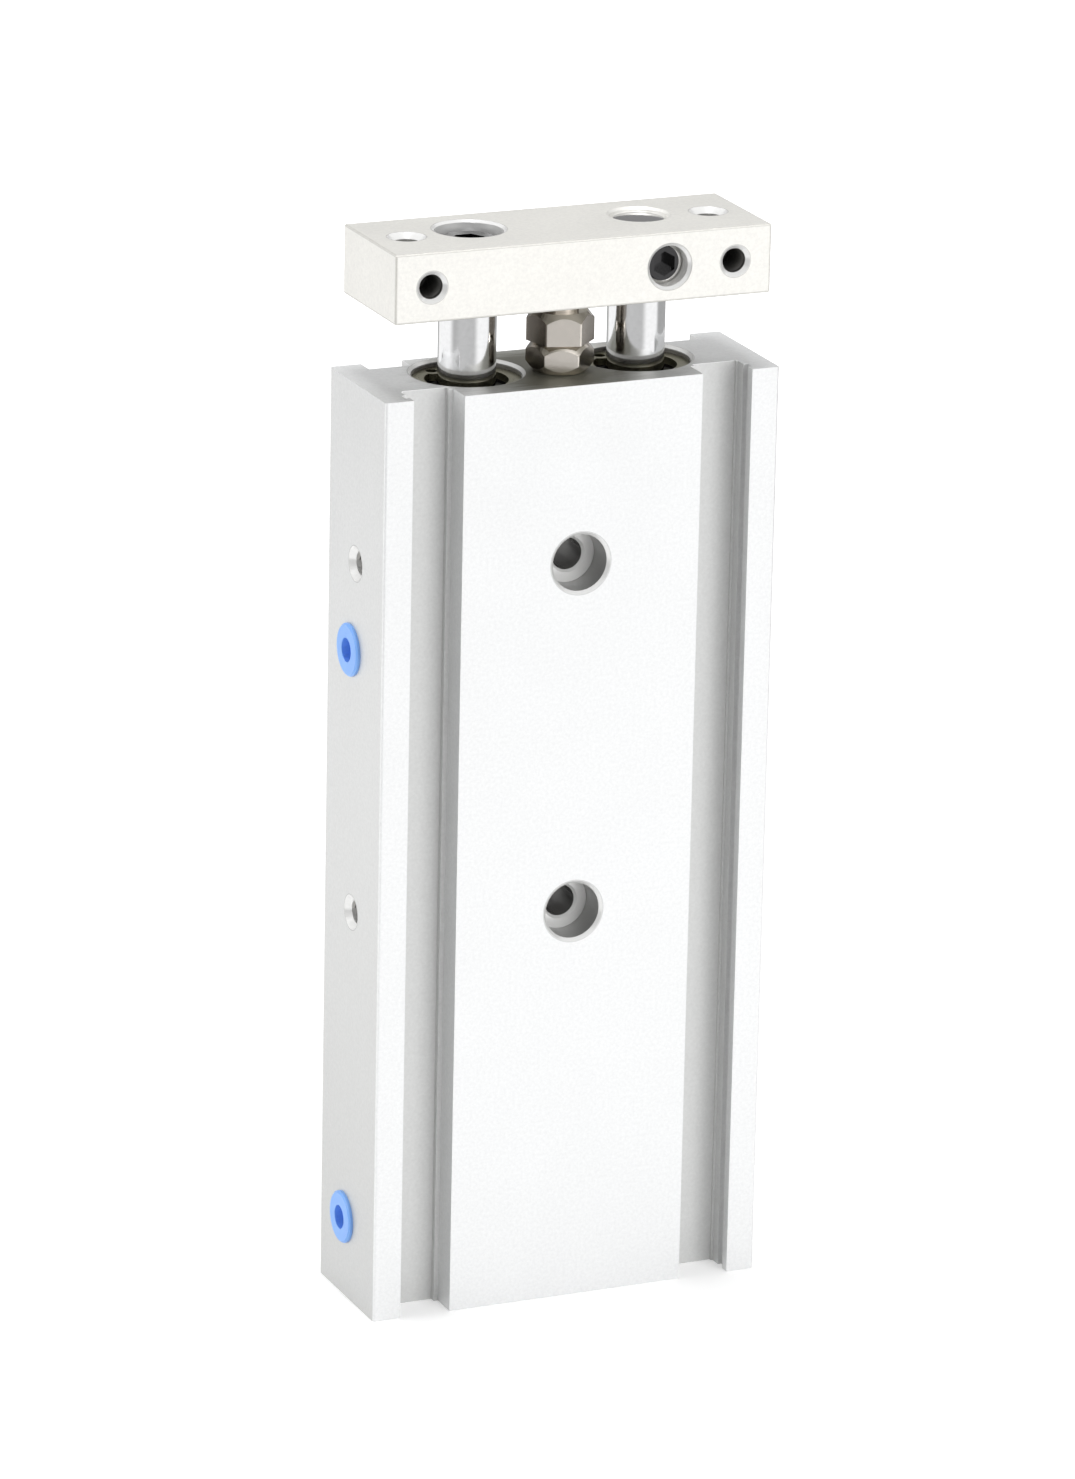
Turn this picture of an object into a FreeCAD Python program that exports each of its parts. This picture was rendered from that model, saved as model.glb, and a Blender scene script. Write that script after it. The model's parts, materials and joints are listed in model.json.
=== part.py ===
"""Guided pneumatic cylinder: two parallel bores in one extruded housing, one end plate.

Frame: millimetres, +Z along the stroke towards the end plate, +X across the two rods and -Y
towards the front face. The origin is at the centre of the housing's lower end face. The model
stands with its rods fully retracted, the stopper resting on the housing.
"""
import FreeCAD, Part
import math
import os
import Sketcher

Vector = FreeCAD.Vector

doc = FreeCAD.newDocument("guided_cylinder")
sheet = doc.addObject("Spreadsheet::Sheet", "Sizes")

# Driving dimensions, millimetres.
SIZES = {
    # Travel and the two lanes
    "stroke": 75.0,
    "rod_pitch": 25.0,             # between the two rod axes
    "rod_setback": 1.5,            # rod axes behind the housing's middle plane
    "bore_radius": 7.5,
    "rod_radius": 4.0,
    # Clearances
    "running_gap": 0.05,           # radial, rod in its cover and seal in its bore
    "seated_gap": 0.04,            # radial, between pieces that do not move on each other
    "axial_gap": 0.05,             # between a retaining ring and the cover that it holds
    "stop_gap": 0.35,              # piston to bumper at either end of the stroke
    # Housing extrusion
    "housing_width": 58.0,
    "housing_depth": 20.0,
    "housing_corner": 0.4,
    "groove_inner": 17.5,          # front groove, from the middle plane
    "groove_outer": 24.9,
    "groove_depth": 5.1,
    "shelf_width": 0.65,           # step between the groove wall and its floor
    "shelf_height": 0.9,
    "notch_start": 1.4,            # undercut in the outer groove wall, from the front face
    "notch_length": 1.6,
    "notch_depth": 0.6,
    "foot_width": 0.3,             # step where the outer groove wall meets the floor
    "foot_height": 0.4,
    "back_groove_inner": 18.5,
    "back_groove_outer": 24.5,
    "back_groove_depth": 2.9,
    # Bore ends
    "mouth_chamfer": 0.5,
    "rod_recess": 1.0,             # end face to retaining ring, rod end
    "head_recess": 1.2,            # the same at the closed end
    "ring_thickness": 1.0,
    "ring_groove_depth": 0.4,
    "ring_band": 2.1,              # radial width of the retaining ring
    "ring_lug_radius": 1.6,
    "ring_lug_hole": 0.8,
    "ring_opening": 2.6,           # free gap between the ring's two ends
    # Covers
    "rod_cover_length": 34.1,
    "head_cover_length": 4.9,
    "bearing_relief": 0.25,        # radial relief between the two bearing lands
    "bearing_land": 11.0,
    "cover_chamfer": 0.5,
    "seal_inset": 0.3,             # outer end of the rod cover to its seal
    "seal_length": 3.2,
    "seal_radius": 5.7,
    "seal_slot": 0.6,              # width of the hollow between the seal's two lips
    "cord_radius": 0.6,            # cross-section of the cover O-rings
    "o_ring_inset": 2.4,           # rod seal to the O-ring of its cover
    # Bumpers
    "bumper_thickness": 1.5,
    "bumper_radius": 6.3,
    "bumper_hole": 0.4,            # radial room around the rod
    # Pistons
    "piston_length": 10.0,
    "lower_spigot_length": 3.4,
    "upper_spigot_length": 2.2,
    "lower_spigot_radius": 5.3,
    "upper_spigot_radius": 5.5,
    "piston_gap": 0.12,            # radial, piston land in its bore
    "piston_seal_width": 2.0,
    "piston_seal_depth": 1.8,
    "magnet_radius": 6.7,
    "magnet_length": 2.0,
    "tenon_radius": 2.5,           # threaded rod end in the piston
    # Ports
    "head_port_offset": 4.35,      # head cover to port axis
    "rod_port_offset": 1.55,       # rod cover to port axis
    "port_radius": 2.1,
    "port_depth": 5.0,
    "port_chamfer": 0.35,
    "passage_radius": 1.25,
    "cap_flange_radius": 3.7,
    "cap_flange_thickness": 0.6,
    "cap_flange_round": 0.25,
    "cap_stem_length": 3.6,
    "cap_recess_radius": 1.7,
    "cap_recess_depth": 2.6,
    "plug_length": 4.0,
    "plug_inset": 0.3,
    "plug_socket_width": 2.5,
    "plug_socket_depth": 1.9,
    # Mounting holes of the housing
    "mount_from_top": 25.1,
    "mount_pitch": 50.0,
    "through_radius": 2.2,
    "counterbore_radius": 4.0,
    "counterbore_depth": 4.7,
    "counterbore_chamfer": 0.4,
    "through_chamfer": 0.4,        # where the through hole meets the counterbore
    "tapped_radius": 1.65,         # M4 core
    "side_tap_chamfer": 0.8,
    "side_tap_depth": 6.0,
    # End plate
    "plate_width": 55.0,
    "plate_depth": 18.5,
    "plate_thickness": 9.6,
    "plate_edge": 0.2,
    "plate_hole_pitch": 44.4,
    "plate_top_tap_chamfer": 1.0,
    "plate_front_tap_chamfer": 0.55,
    "plate_front_tap_depth": 6.2,
    "rod_seat_depth": 1.7,         # left rod into the underside of the plate
    "screw_web": 2.6,              # plate left between rod end and screw head
    "plate_hole_chamfer": 0.35,
    "rod_end_recess": 0.6,         # right rod end below the top of the plate
    "rod_end_chamfer": 0.5,
    # Screw that holds the left rod
    "cap_screw_radius": 2.5,
    "cap_screw_reach": 10.0,       # thread length inside the rod
    "cap_screw_head_radius": 4.25,
    "cap_screw_head_height": 4.0,
    "cap_screw_socket_width": 4.0,
    "cap_screw_socket_depth": 2.4,
    "head_room": 0.5,              # radial room around the screw head
    # Set screw that clamps the right rod
    "set_screw_radius": 2.8,
    "set_screw_length": 4.9,
    "set_screw_socket_width": 3.0,
    "set_screw_socket_depth": 2.2,
    "set_screw_chamfer": 0.45,
    # Stopper bolt and its lock nut
    "stopper_setback": 1.3,        # stopper axis in front of the middle plane
    "stopper_gap": 0.1,            # bolt head to housing, rods retracted
    "hex_width": 8.2,              # across flats, bolt head and nut
    "hex_corner_round": 0.35,
    "head_turn": 40.0,             # degrees, a flat faces front and a little to the left
    "nut_turn": 44.0,              # degrees, the nut stands a little further round
    "head_height": 4.0,
    "nut_gap": 0.1,                # bolt head to nut
    "nut_height": 4.35,
    "nut_standoff": 1.85,          # thread left bare between the nut and the plate
    "crown_radius": 3.7,           # where the crown meets the end face of a hex
    "crown_slope": 52.0,           # degrees
    "stopper_radius": 2.5,
    "stopper_reach": 7.4,          # thread length inside the plate
    "pad_radius": 2.4,
    "pad_thickness": 1.4,
    "pad_proud": 0.05,
}

for row, (alias, size) in enumerate(SIZES.items(), start=1):
    sheet.set(f"A{row}", alias)
    sheet.set(f"B{row}", str(size))
    sheet.setAlias(f"B{row}", alias)
doc.recompute()

# Heights and places that follow from the driving dimensions.
places = doc.addObject("App::VarSet", "Places")


def place(name, formula):
    """Name a derived value once, so that every piece that shares it reads the same one."""
    places.addProperty("App::PropertyFloat", name, "Derived")
    places.setExpression(name, formula)
    doc.recompute()


def size(formula):
    """The number that a formula of named sizes and places stands for."""
    return float(sheet.evalExpression(str(formula)))


# Stack along the bore, from the closed end to the rod end
place("head_cover_low", "Sizes.head_recess + Sizes.ring_thickness + Sizes.axial_gap")
place("head_cover_top", "Places.head_cover_low + Sizes.head_cover_length")
place("piston_low", "Places.head_cover_top + Sizes.bumper_thickness + Sizes.stop_gap")
place("piston_top", "Places.piston_low + Sizes.piston_length")
place("rod_bumper_low", "Places.piston_top + Sizes.stroke + Sizes.stop_gap")
place("rod_cover_low", "Places.rod_bumper_low + Sizes.bumper_thickness")
place("rod_cover_top", "Places.rod_cover_low + Sizes.rod_cover_length")
place("rod_ring_low", "Places.rod_cover_top + Sizes.axial_gap")
place("housing_top", "Places.rod_ring_low + Sizes.ring_thickness + Sizes.rod_recess")
# Openings in the housing
place("head_port", "Places.head_cover_top + Sizes.head_port_offset")
place("rod_port", "Places.rod_cover_low - Sizes.rod_port_offset")
place("upper_mount", "Places.housing_top - Sizes.mount_from_top")
place("lower_mount", "Places.upper_mount - Sizes.mount_pitch")
# Stopper and end plate, which rest on the housing with the rods retracted
place("bolt_head_low", "Places.housing_top + Sizes.stopper_gap")
place("bolt_head_top", "Places.bolt_head_low + Sizes.head_height")
place("nut_low", "Places.bolt_head_top + Sizes.nut_gap")
place("plate_low", "Places.nut_low + Sizes.nut_height + Sizes.nut_standoff")
place("plate_top", "Places.plate_low + Sizes.plate_thickness")
place("plate_middle", "Places.plate_low + Sizes.plate_thickness / 2")
place("left_rod_top", "Places.plate_low + Sizes.rod_seat_depth")
place("right_rod_top", "Places.plate_top - Sizes.rod_end_recess")
place("screw_seat", "Places.left_rod_top + Sizes.screw_web")
# Radii that follow from a mating piece
place("cover_radius", "Sizes.bore_radius - Sizes.seated_gap")
place("ring_radius", "Sizes.bore_radius + Sizes.ring_groove_depth - Sizes.seated_gap")
place("piston_radius", "Sizes.bore_radius - Sizes.piston_gap")
place("rod_hole_radius", "Sizes.rod_radius + Sizes.running_gap")
place("rod_seat_radius", "Sizes.rod_radius + Sizes.seated_gap")
place("o_ring_track", "Sizes.bore_radius - Sizes.seated_gap / 2 - Sizes.cord_radius")

AXES = {"XY": "XY_Plane", "XZ": "XZ_Plane", "YZ": "YZ_Plane"}


def new_body(label, x="0", y="0", z="0"):
    """An empty body whose own origin stands at the given place."""
    body = doc.addObject("PartDesign::Body", label)
    body.Label = label
    for axis, formula in zip("xyz", (x, y, z)):
        body.setExpression(f"Placement.Base.{axis}", str(formula))
    return body


def origin_plane(body, name):
    for feature in body.Origin.OriginFeatures:
        if feature.Role == AXES[name]:
            return feature
    raise RuntimeError(f"{body.Label} has no plane {name}")


def new_sketch(body, name, plane, shift=("0", "0", "0")):
    """A sketch on one of the body's origin planes, shifted in the plane's own axes."""
    sketch = body.newObject("Sketcher::SketchObject", f"{body.Label}_{name}")
    sketch.AttachmentSupport = [(origin_plane(body, plane), "")]
    sketch.MapMode = "FlatFace"
    for axis, formula in zip("xyz", shift):
        sketch.setExpression(f"AttachmentOffset.Base.{axis}", str(formula))
    doc.recompute()
    return sketch


def pin(sketch, geometry, vertex, point):
    """Hold one vertex of a sketch at a place given by two formulas."""
    for kind, formula in zip(("DistanceX", "DistanceY"), point):
        index = sketch.addConstraint(
            Sketcher.Constraint(kind, -1, 1, geometry, vertex, size(formula)))
        sketch.setExpression(f"Constraints[{index}]", str(formula))


def polygon(sketch, points):
    """A closed outline of straight lines through points given as pairs of formulas."""
    corners = [Vector(size(x), size(y), 0) for x, y in points]
    first = sketch.GeometryCount
    for index, corner in enumerate(corners):
        after = corners[(index + 1) % len(corners)]
        sketch.addGeometry(Part.LineSegment(corner, after), False)
    for index, point in enumerate(points):
        line = first + index
        after = first + (index + 1) % len(points)
        sketch.addConstraint(Sketcher.Constraint("Coincident", line, 2, after, 1))
        pin(sketch, line, 1, point)


def circle(sketch, radius, centre=("0", "0")):
    middle = Vector(size(centre[0]), size(centre[1]), 0)
    geometry = sketch.addGeometry(Part.Circle(middle, Vector(0, 0, 1), size(radius)), False)
    pin(sketch, geometry, 3, centre)
    index = sketch.addConstraint(Sketcher.Constraint("Radius", geometry, size(radius)))
    sketch.setExpression(f"Constraints[{index}]", str(radius))


def rectangle(sketch, width, depth):
    half_width = f"({width}) / 2"
    half_depth = f"({depth}) / 2"
    polygon(sketch, [
        (f"-({half_width})", f"-({half_depth})"),
        (half_width, f"-({half_depth})"),
        (half_width, half_depth),
        (f"-({half_width})", half_depth),
    ])


def hexagon(sketch, across_flats, turn="0"):
    """A regular hexagon about the sketch's origin, turned by an angle in degrees."""
    corner = f"({across_flats}) / (2 * cos(30 deg))"
    polygon(sketch, [
        (f"{corner} * cos(({turn} + {60 * step}) * 1 deg)",
         f"{corner} * sin(({turn} + {60 * step}) * 1 deg)")
        for step in range(6)
    ])


def pad(body, name, sketch, length):
    feature = body.newObject("PartDesign::Pad", f"{body.Label}_{name}")
    feature.Profile = sketch
    feature.setExpression("Length", str(length))
    sketch.Visibility = False
    doc.recompute()
    return feature


def cut_volume(body, feature, before):
    """Stop if a cutting feature has taken nothing away."""
    doc.recompute()
    if feature.Shape.Volume > before - 1e-4:
        raise RuntimeError(f"{feature.Label} cuts nothing")
    body.Tip = feature


def pocket(body, name, sketch, depth, towards_normal=False):
    before = body.Shape.Volume
    feature = body.newObject("PartDesign::Pocket", f"{body.Label}_{name}")
    feature.Profile = sketch
    feature.setExpression("Length", str(depth))
    feature.Reversed = towards_normal
    cut_volume(body, feature, before)
    return feature


def turned(body, name, sketch, axis="V_Axis"):
    """Turn a sketch a full circle about its own vertical or horizontal axis."""
    feature = body.newObject("PartDesign::Revolution", f"{body.Label}_{name}")
    feature.Profile = sketch
    feature.ReferenceAxis = (sketch, [axis])
    feature.Angle = 360
    doc.recompute()
    return feature


def turned_cut(body, name, sketch, axis="V_Axis"):
    before = body.Shape.Volume
    feature = body.newObject("PartDesign::Groove", f"{body.Label}_{name}")
    feature.Profile = sketch
    feature.ReferenceAxis = (sketch, [axis])
    feature.Angle = 360
    cut_volume(body, feature, before)
    return feature


def mirrored(body, name, features):
    """Repeat features on the other side of the body's YZ plane."""
    before = body.Shape.Volume
    feature = body.newObject("PartDesign::Mirrored", f"{body.Label}_{name}")
    feature.Originals = features
    feature.MirrorPlane = (origin_plane(body, "YZ"), [""])
    cut_volume(body, feature, before)
    return feature


def upright_edges(shape):
    """Names of the straight edges that run along Z."""
    names = []
    for index, edge in enumerate(shape.Edges, start=1):
        along = edge.tangentAt(edge.FirstParameter)
        if abs(abs(along.z) - 1) < 1e-6:
            names.append(f"Edge{index}")
    return names


def fillet(body, name, base, edges, radius):
    feature = body.newObject("PartDesign::Fillet", f"{body.Label}_{name}")
    feature.Base = (base, edges)
    feature.setExpression("Radius", str(radius))
    doc.recompute()
    return feature


def turned_piece(label, points, x="0", y="0", z="0"):
    """A piece turned about an upright axis from an outline of radii and heights."""
    body = new_body(label, x, y, z)
    sketch = new_sketch(body, "outline", "XZ")
    polygon(sketch, points)
    turned(body, "turned", sketch)
    return body


def housing():
    """The extruded housing with its grooves, two bores, ports and mounting holes."""
    body = new_body("housing")
    outline = new_sketch(body, "outline", "XY")
    rectangle(outline, "Sizes.housing_width", "Sizes.housing_depth")
    block = pad(body, "block", outline, "Places.housing_top")
    fillet(body, "corners", block, upright_edges(block.Shape), "Sizes.housing_corner")
    grooves = [front_groove(body), back_groove(body)]
    mirrored(body, "grooves", grooves)
    bore = bore_cut(body)
    mirrored(body, "bores", [bore])
    mounting_holes(body)
    for side in (-1, 1):
        for level in ("upper", "lower"):
            side_tapped_hole(body, side, level)
    for level in ("head", "rod"):
        cross_drilling(body, level)
    return body


def front_groove(body):
    """Sensor groove: a shelf by the inner wall, and an undercut and a foot at the outer wall."""
    front = "-Sizes.housing_depth / 2"
    floor = f"{front} + Sizes.groove_depth"
    notch_front = f"{front} + Sizes.notch_start"
    notch_back = f"{notch_front} + Sizes.notch_length"
    sketch = new_sketch(body, "front_groove_outline", "XY")
    polygon(sketch, [
        ("Sizes.groove_inner", f"{front} - 1"),
        ("Sizes.groove_inner", f"{floor} - Sizes.shelf_height"),
        ("Sizes.groove_inner + Sizes.shelf_width", f"{floor} - Sizes.shelf_height"),
        ("Sizes.groove_inner + Sizes.shelf_width", floor),
        ("Sizes.groove_outer - Sizes.foot_width", floor),
        ("Sizes.groove_outer - Sizes.foot_width", f"{floor} - Sizes.foot_height"),
        ("Sizes.groove_outer", f"{floor} - Sizes.foot_height"),
        ("Sizes.groove_outer", notch_back),
        ("Sizes.groove_outer + Sizes.notch_depth", notch_back),
        ("Sizes.groove_outer + Sizes.notch_depth", notch_front),
        ("Sizes.groove_outer", notch_front),
        ("Sizes.groove_outer", f"{front} - 1"),
    ])
    return pocket(body, "front_groove", sketch, "Places.housing_top", towards_normal=True)


def back_groove(body):
    back = "Sizes.housing_depth / 2"
    floor = f"{back} - Sizes.back_groove_depth"
    sketch = new_sketch(body, "back_groove_outline", "XY")
    polygon(sketch, [
        ("Sizes.back_groove_inner", floor),
        ("Sizes.back_groove_outer", floor),
        ("Sizes.back_groove_outer", f"{back} + 1"),
        ("Sizes.back_groove_inner", f"{back} + 1"),
    ])
    return pocket(body, "back_groove", sketch, "Places.housing_top", towards_normal=True)


def bore_cut(body):
    """One bore with its end chamfers and the two grooves for the retaining rings."""
    mouth = "Sizes.bore_radius + Sizes.mouth_chamfer"
    track = "Sizes.bore_radius + Sizes.ring_groove_depth"
    low_ring = "Sizes.head_recess - Sizes.axial_gap / 2"
    low_ring_top = "Places.head_cover_low - Sizes.axial_gap / 2"
    high_ring = "Places.rod_ring_low - Sizes.axial_gap / 2"
    high_ring_top = "Places.housing_top - Sizes.rod_recess + Sizes.axial_gap / 2"
    sketch = new_sketch(body, "bore_outline", "XZ",
                        ("Sizes.rod_pitch / 2", "0", "-Sizes.rod_setback"))
    polygon(sketch, [
        ("0", "0"),
        (mouth, "0"),
        ("Sizes.bore_radius", "Sizes.mouth_chamfer"),
        ("Sizes.bore_radius", low_ring),
        (track, low_ring),
        (track, low_ring_top),
        ("Sizes.bore_radius", low_ring_top),
        ("Sizes.bore_radius", high_ring),
        (track, high_ring),
        (track, high_ring_top),
        ("Sizes.bore_radius", high_ring_top),
        ("Sizes.bore_radius", "Places.housing_top - Sizes.mouth_chamfer"),
        (mouth, "Places.housing_top"),
        ("0", "Places.housing_top"),
    ])
    return turned_cut(body, "bore", sketch)


def mounting_holes(body):
    """Two holes right through the middle web, counterbored from both faces."""
    face = "Sizes.housing_depth / 2"
    floor = f"{face} - Sizes.counterbore_depth"
    rim = "Sizes.counterbore_radius + Sizes.counterbore_chamfer"
    half = [
        (f"{floor} - Sizes.through_chamfer", "Sizes.through_radius"),
        (floor, "Sizes.through_radius + Sizes.through_chamfer"),
        (floor, "Sizes.counterbore_radius"),
        (f"{face} - Sizes.counterbore_chamfer", "Sizes.counterbore_radius"),
        (face, rim),
        (face, "0"),
    ]
    other_half = [(f"-({along})", radius) for along, radius in reversed(half)]
    sketch = new_sketch(body, "mounting_hole_outline", "YZ", ("0", "Places.lower_mount", "0"))
    polygon(sketch, half + other_half)
    hole = turned_cut(body, "mounting_hole", sketch, "H_Axis")
    before = body.Shape.Volume
    pattern = body.newObject("PartDesign::LinearPattern", "housing_mounting_holes")
    pattern.Originals = [hole]
    pattern.Direction = (sketch, ["V_Axis"])
    pattern.setExpression("Length", "Sizes.mount_pitch")
    pattern.Occurrences = 2
    cut_volume(body, pattern, before)


def side_tapped_hole(body, side, level):
    """A blind tapped hole in the side face, with the drill's point at its end."""
    face = "Sizes.housing_width / 2"
    bottom = f"{face} - Sizes.side_tap_depth"
    points = [
        (f"{bottom} - Sizes.tapped_radius * tan(30 deg)", "0"),
        (bottom, "Sizes.tapped_radius"),
        (f"{face} - Sizes.side_tap_chamfer", "Sizes.tapped_radius"),
        (face, "Sizes.tapped_radius + Sizes.side_tap_chamfer"),
        (face, "0"),
    ]
    name = f"side_hole_{level}_{'left' if side < 0 else 'right'}"
    sketch = new_sketch(body, f"{name}_outline", "XZ", ("0", f"Places.{level}_mount", "0"))
    polygon(sketch, [(f"{side} * ({along})", radius) for along, radius in points])
    turned_cut(body, name, sketch, "H_Axis")


def cross_drilling(body, level):
    """A port in each side face, joined by one passage through both bores."""
    face = "Sizes.housing_width / 2"
    shoulder = f"{face} - Sizes.port_depth"
    half = [
        (f"{shoulder} - (Sizes.port_radius - Sizes.passage_radius)", "Sizes.passage_radius"),
        (shoulder, "Sizes.port_radius"),
        (f"{face} - Sizes.port_chamfer", "Sizes.port_radius"),
        (face, "Sizes.port_radius + Sizes.port_chamfer"),
        (face, "0"),
    ]
    other_half = [(f"-({along})", radius) for along, radius in reversed(half)]
    sketch = new_sketch(body, f"{level}_port_outline", "XZ",
                        ("0", f"Places.{level}_port", "-Sizes.rod_setback"))
    polygon(sketch, half + other_half)
    turned_cut(body, f"{level}_port", sketch, "H_Axis")


def rod_cover(label, x, y):
    """Long bearing cover: two lands, an open seal pocket and an O-ring groove."""
    length = "Sizes.rod_cover_length"
    seal_low = f"{length} - Sizes.seal_inset - Sizes.seal_length"
    relief = "Places.rod_hole_radius + Sizes.bearing_relief"
    upper_land = f"{seal_low} - Sizes.bearing_land"
    track_middle = f"{seal_low} - Sizes.o_ring_inset"
    track_floor = "Places.o_ring_track - Sizes.cord_radius - Sizes.seated_gap"
    track_low = f"{track_middle} - Sizes.cord_radius - Sizes.seated_gap"
    track_top = f"{track_middle} + Sizes.cord_radius + Sizes.seated_gap"
    outer = "Places.cover_radius"
    return turned_piece(label, [
        ("Places.rod_hole_radius", "0"),
        (f"{outer} - Sizes.cover_chamfer", "0"),
        (outer, "Sizes.cover_chamfer"),
        (outer, track_low),
        (track_floor, track_low),
        (track_floor, track_top),
        (outer, track_top),
        (outer, f"{length} - Sizes.cover_chamfer"),
        (f"{outer} - Sizes.cover_chamfer", length),
        ("Sizes.seal_radius", length),
        ("Sizes.seal_radius", seal_low),
        ("Places.rod_hole_radius", seal_low),
        ("Places.rod_hole_radius", upper_land),
        (relief, upper_land),
        (relief, "Sizes.bearing_land"),
        ("Places.rod_hole_radius", "Sizes.bearing_land"),
    ], x, y, "Places.rod_cover_low")


def rod_seal(label, x, y):
    """Lip seal: a solid heel and a hollow front towards the pressure side."""
    outer = "Sizes.seal_radius - Sizes.seated_gap"
    inner = "Places.rod_hole_radius"
    top = "Sizes.seal_length - Sizes.seated_gap"
    low = "Sizes.seated_gap"
    heel = "Sizes.seal_length / 2"
    slot_inner = f"({outer} + {inner} - Sizes.seal_slot) / 2"
    slot_outer = f"({outer} + {inner} + Sizes.seal_slot) / 2"
    return turned_piece(label, [
        (inner, low),
        (slot_inner, low),
        (slot_inner, heel),
        (slot_outer, heel),
        (slot_outer, low),
        (outer, low),
        (outer, top),
        (inner, top),
    ], x, y, "Places.rod_cover_top - Sizes.seal_inset - Sizes.seal_length")


def o_ring(label, x, y, z):
    ring = doc.addObject("Part::Torus", label)
    ring.Label = label
    ring.setExpression("Radius1", "Places.o_ring_track")
    ring.setExpression("Radius2", "Sizes.cord_radius")
    for axis, formula in zip("xyz", (x, y, z)):
        ring.setExpression(f"Placement.Base.{axis}", formula)
    return ring


def retaining_ring(label, x, y, z):
    """Internal retaining ring, open at the back, with two lugs for the pliers."""
    body = new_body(label, x, y, z)
    outer = "Places.ring_radius"
    inner = f"{outer} - Sizes.ring_band"
    band = new_sketch(body, "band", "XY")
    circle(band, outer)
    circle(band, inner)
    pad(body, "ring", band, "Sizes.ring_thickness")
    across = "Sizes.ring_opening / 2 + Sizes.ring_lug_radius"
    lug_line = f"{outer} - Sizes.ring_lug_radius - 2 * Sizes.seated_gap"
    for side in ("-", ""):
        lug_x = f"{side}({across})"
        lug_y = f"sqrt(({lug_line}) ^ 2 - ({across}) ^ 2)"
        lug = new_sketch(body, f"lug{'_left' if side else '_right'}", "XY")
        circle(lug, "Sizes.ring_lug_radius", (lug_x, lug_y))
        pad(body, f"lug_pad{'_left' if side else '_right'}", lug, "Sizes.ring_thickness")
        eye = new_sketch(body, f"eye{'_left' if side else '_right'}", "XY")
        circle(eye, "Sizes.ring_lug_hole", (lug_x, lug_y))
        pocket(body, f"eye_cut{'_left' if side else '_right'}", eye,
               "Sizes.ring_thickness", towards_normal=True)
    opening = new_sketch(body, "opening", "XY")
    polygon(opening, [
        ("-Sizes.ring_opening / 2", f"({inner}) / 2"),
        ("Sizes.ring_opening / 2", f"({inner}) / 2"),
        ("Sizes.ring_opening / 2", f"{outer} + 1"),
        ("-Sizes.ring_opening / 2", f"{outer} + 1"),
    ])
    pocket(body, "opening_cut", opening, "Sizes.ring_thickness", towards_normal=True)
    return body


def head_cover(label, x, y):
    """Closed end cover with an O-ring groove and a shallow turned recess outside."""
    outer = "Places.cover_radius"
    length = "Sizes.head_cover_length"
    track_middle = f"{length} / 2"
    track_floor = "Places.o_ring_track - Sizes.cord_radius - Sizes.seated_gap"
    track_low = f"{track_middle} - Sizes.cord_radius - Sizes.seated_gap"
    track_top = f"{track_middle} + Sizes.cord_radius + Sizes.seated_gap"
    dish = f"{outer} / 2"
    dish_depth = "Sizes.cover_chamfer"
    return turned_piece(label, [
        ("0", dish_depth),
        (dish, dish_depth),
        (f"{dish} + {dish_depth}", "0"),
        (f"{outer} - Sizes.cover_chamfer", "0"),
        (outer, "Sizes.cover_chamfer"),
        (outer, track_low),
        (track_floor, track_low),
        (track_floor, track_top),
        (outer, track_top),
        (outer, f"{length} - Sizes.cover_chamfer"),
        (f"{outer} - Sizes.cover_chamfer", length),
        ("0", length),
    ], x, y, "Places.head_cover_low")


def bumper(label, x, y, z):
    """Flat cushion ring that the piston meets at the end of its stroke."""
    inner = "Sizes.rod_radius + Sizes.bumper_hole"
    return turned_piece(label, [
        (inner, "0"),
        ("Sizes.bumper_radius", "0"),
        ("Sizes.bumper_radius", "Sizes.bumper_thickness"),
        (inner, "Sizes.bumper_thickness"),
    ], x, y, z)


def piston_rod(label, x, y, top, tapped):
    """Ground rod with a threaded tenon below and, on the left rod, a tapped hole on top."""
    body = new_body(label, x, y, "Places.piston_low")
    shoulder = "Sizes.piston_length"
    length = f"{top} - Places.piston_low"
    chamfer = "Sizes.rod_end_chamfer"
    points = [
        ("0", "0"),
        ("Sizes.tenon_radius", "0"),
        ("Sizes.tenon_radius", shoulder),
        ("Sizes.rod_radius", shoulder),
        ("Sizes.rod_radius", f"{length} - {chamfer}"),
        (f"Sizes.rod_radius - {chamfer}", length),
    ]
    if tapped:
        core = "Sizes.cap_screw_radius + Sizes.seated_gap"
        depth = f"{length} - Sizes.cap_screw_reach - 1"
        points += [
            (core, length),
            (core, depth),
            ("0", f"{depth} - ({core}) * tan(30 deg)"),
        ]
    else:
        points.append(("0", length))
    sketch = new_sketch(body, "outline", "XZ")
    polygon(sketch, points)
    turned(body, "turned", sketch)
    return body


def piston(label, x, y):
    """Piston: two spigots and a land with the seal groove."""
    hole = "Sizes.tenon_radius + Sizes.seated_gap"
    land_low = "Sizes.lower_spigot_length"
    land_top = "Sizes.piston_length - Sizes.upper_spigot_length"
    middle = f"({land_low} + {land_top}) / 2"
    floor = "Places.piston_radius - Sizes.piston_seal_depth"
    return turned_piece(label, [
        (hole, "0"),
        ("Sizes.lower_spigot_radius", "0"),
        ("Sizes.lower_spigot_radius", land_low),
        ("Places.piston_radius", land_low),
        ("Places.piston_radius", f"{middle} - Sizes.piston_seal_width / 2"),
        (floor, f"{middle} - Sizes.piston_seal_width / 2"),
        (floor, f"{middle} + Sizes.piston_seal_width / 2"),
        ("Places.piston_radius", f"{middle} + Sizes.piston_seal_width / 2"),
        ("Places.piston_radius", land_top),
        ("Sizes.upper_spigot_radius", land_top),
        ("Sizes.upper_spigot_radius", "Sizes.piston_length"),
        (hole, "Sizes.piston_length"),
    ], x, y, "Places.piston_low")


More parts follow.
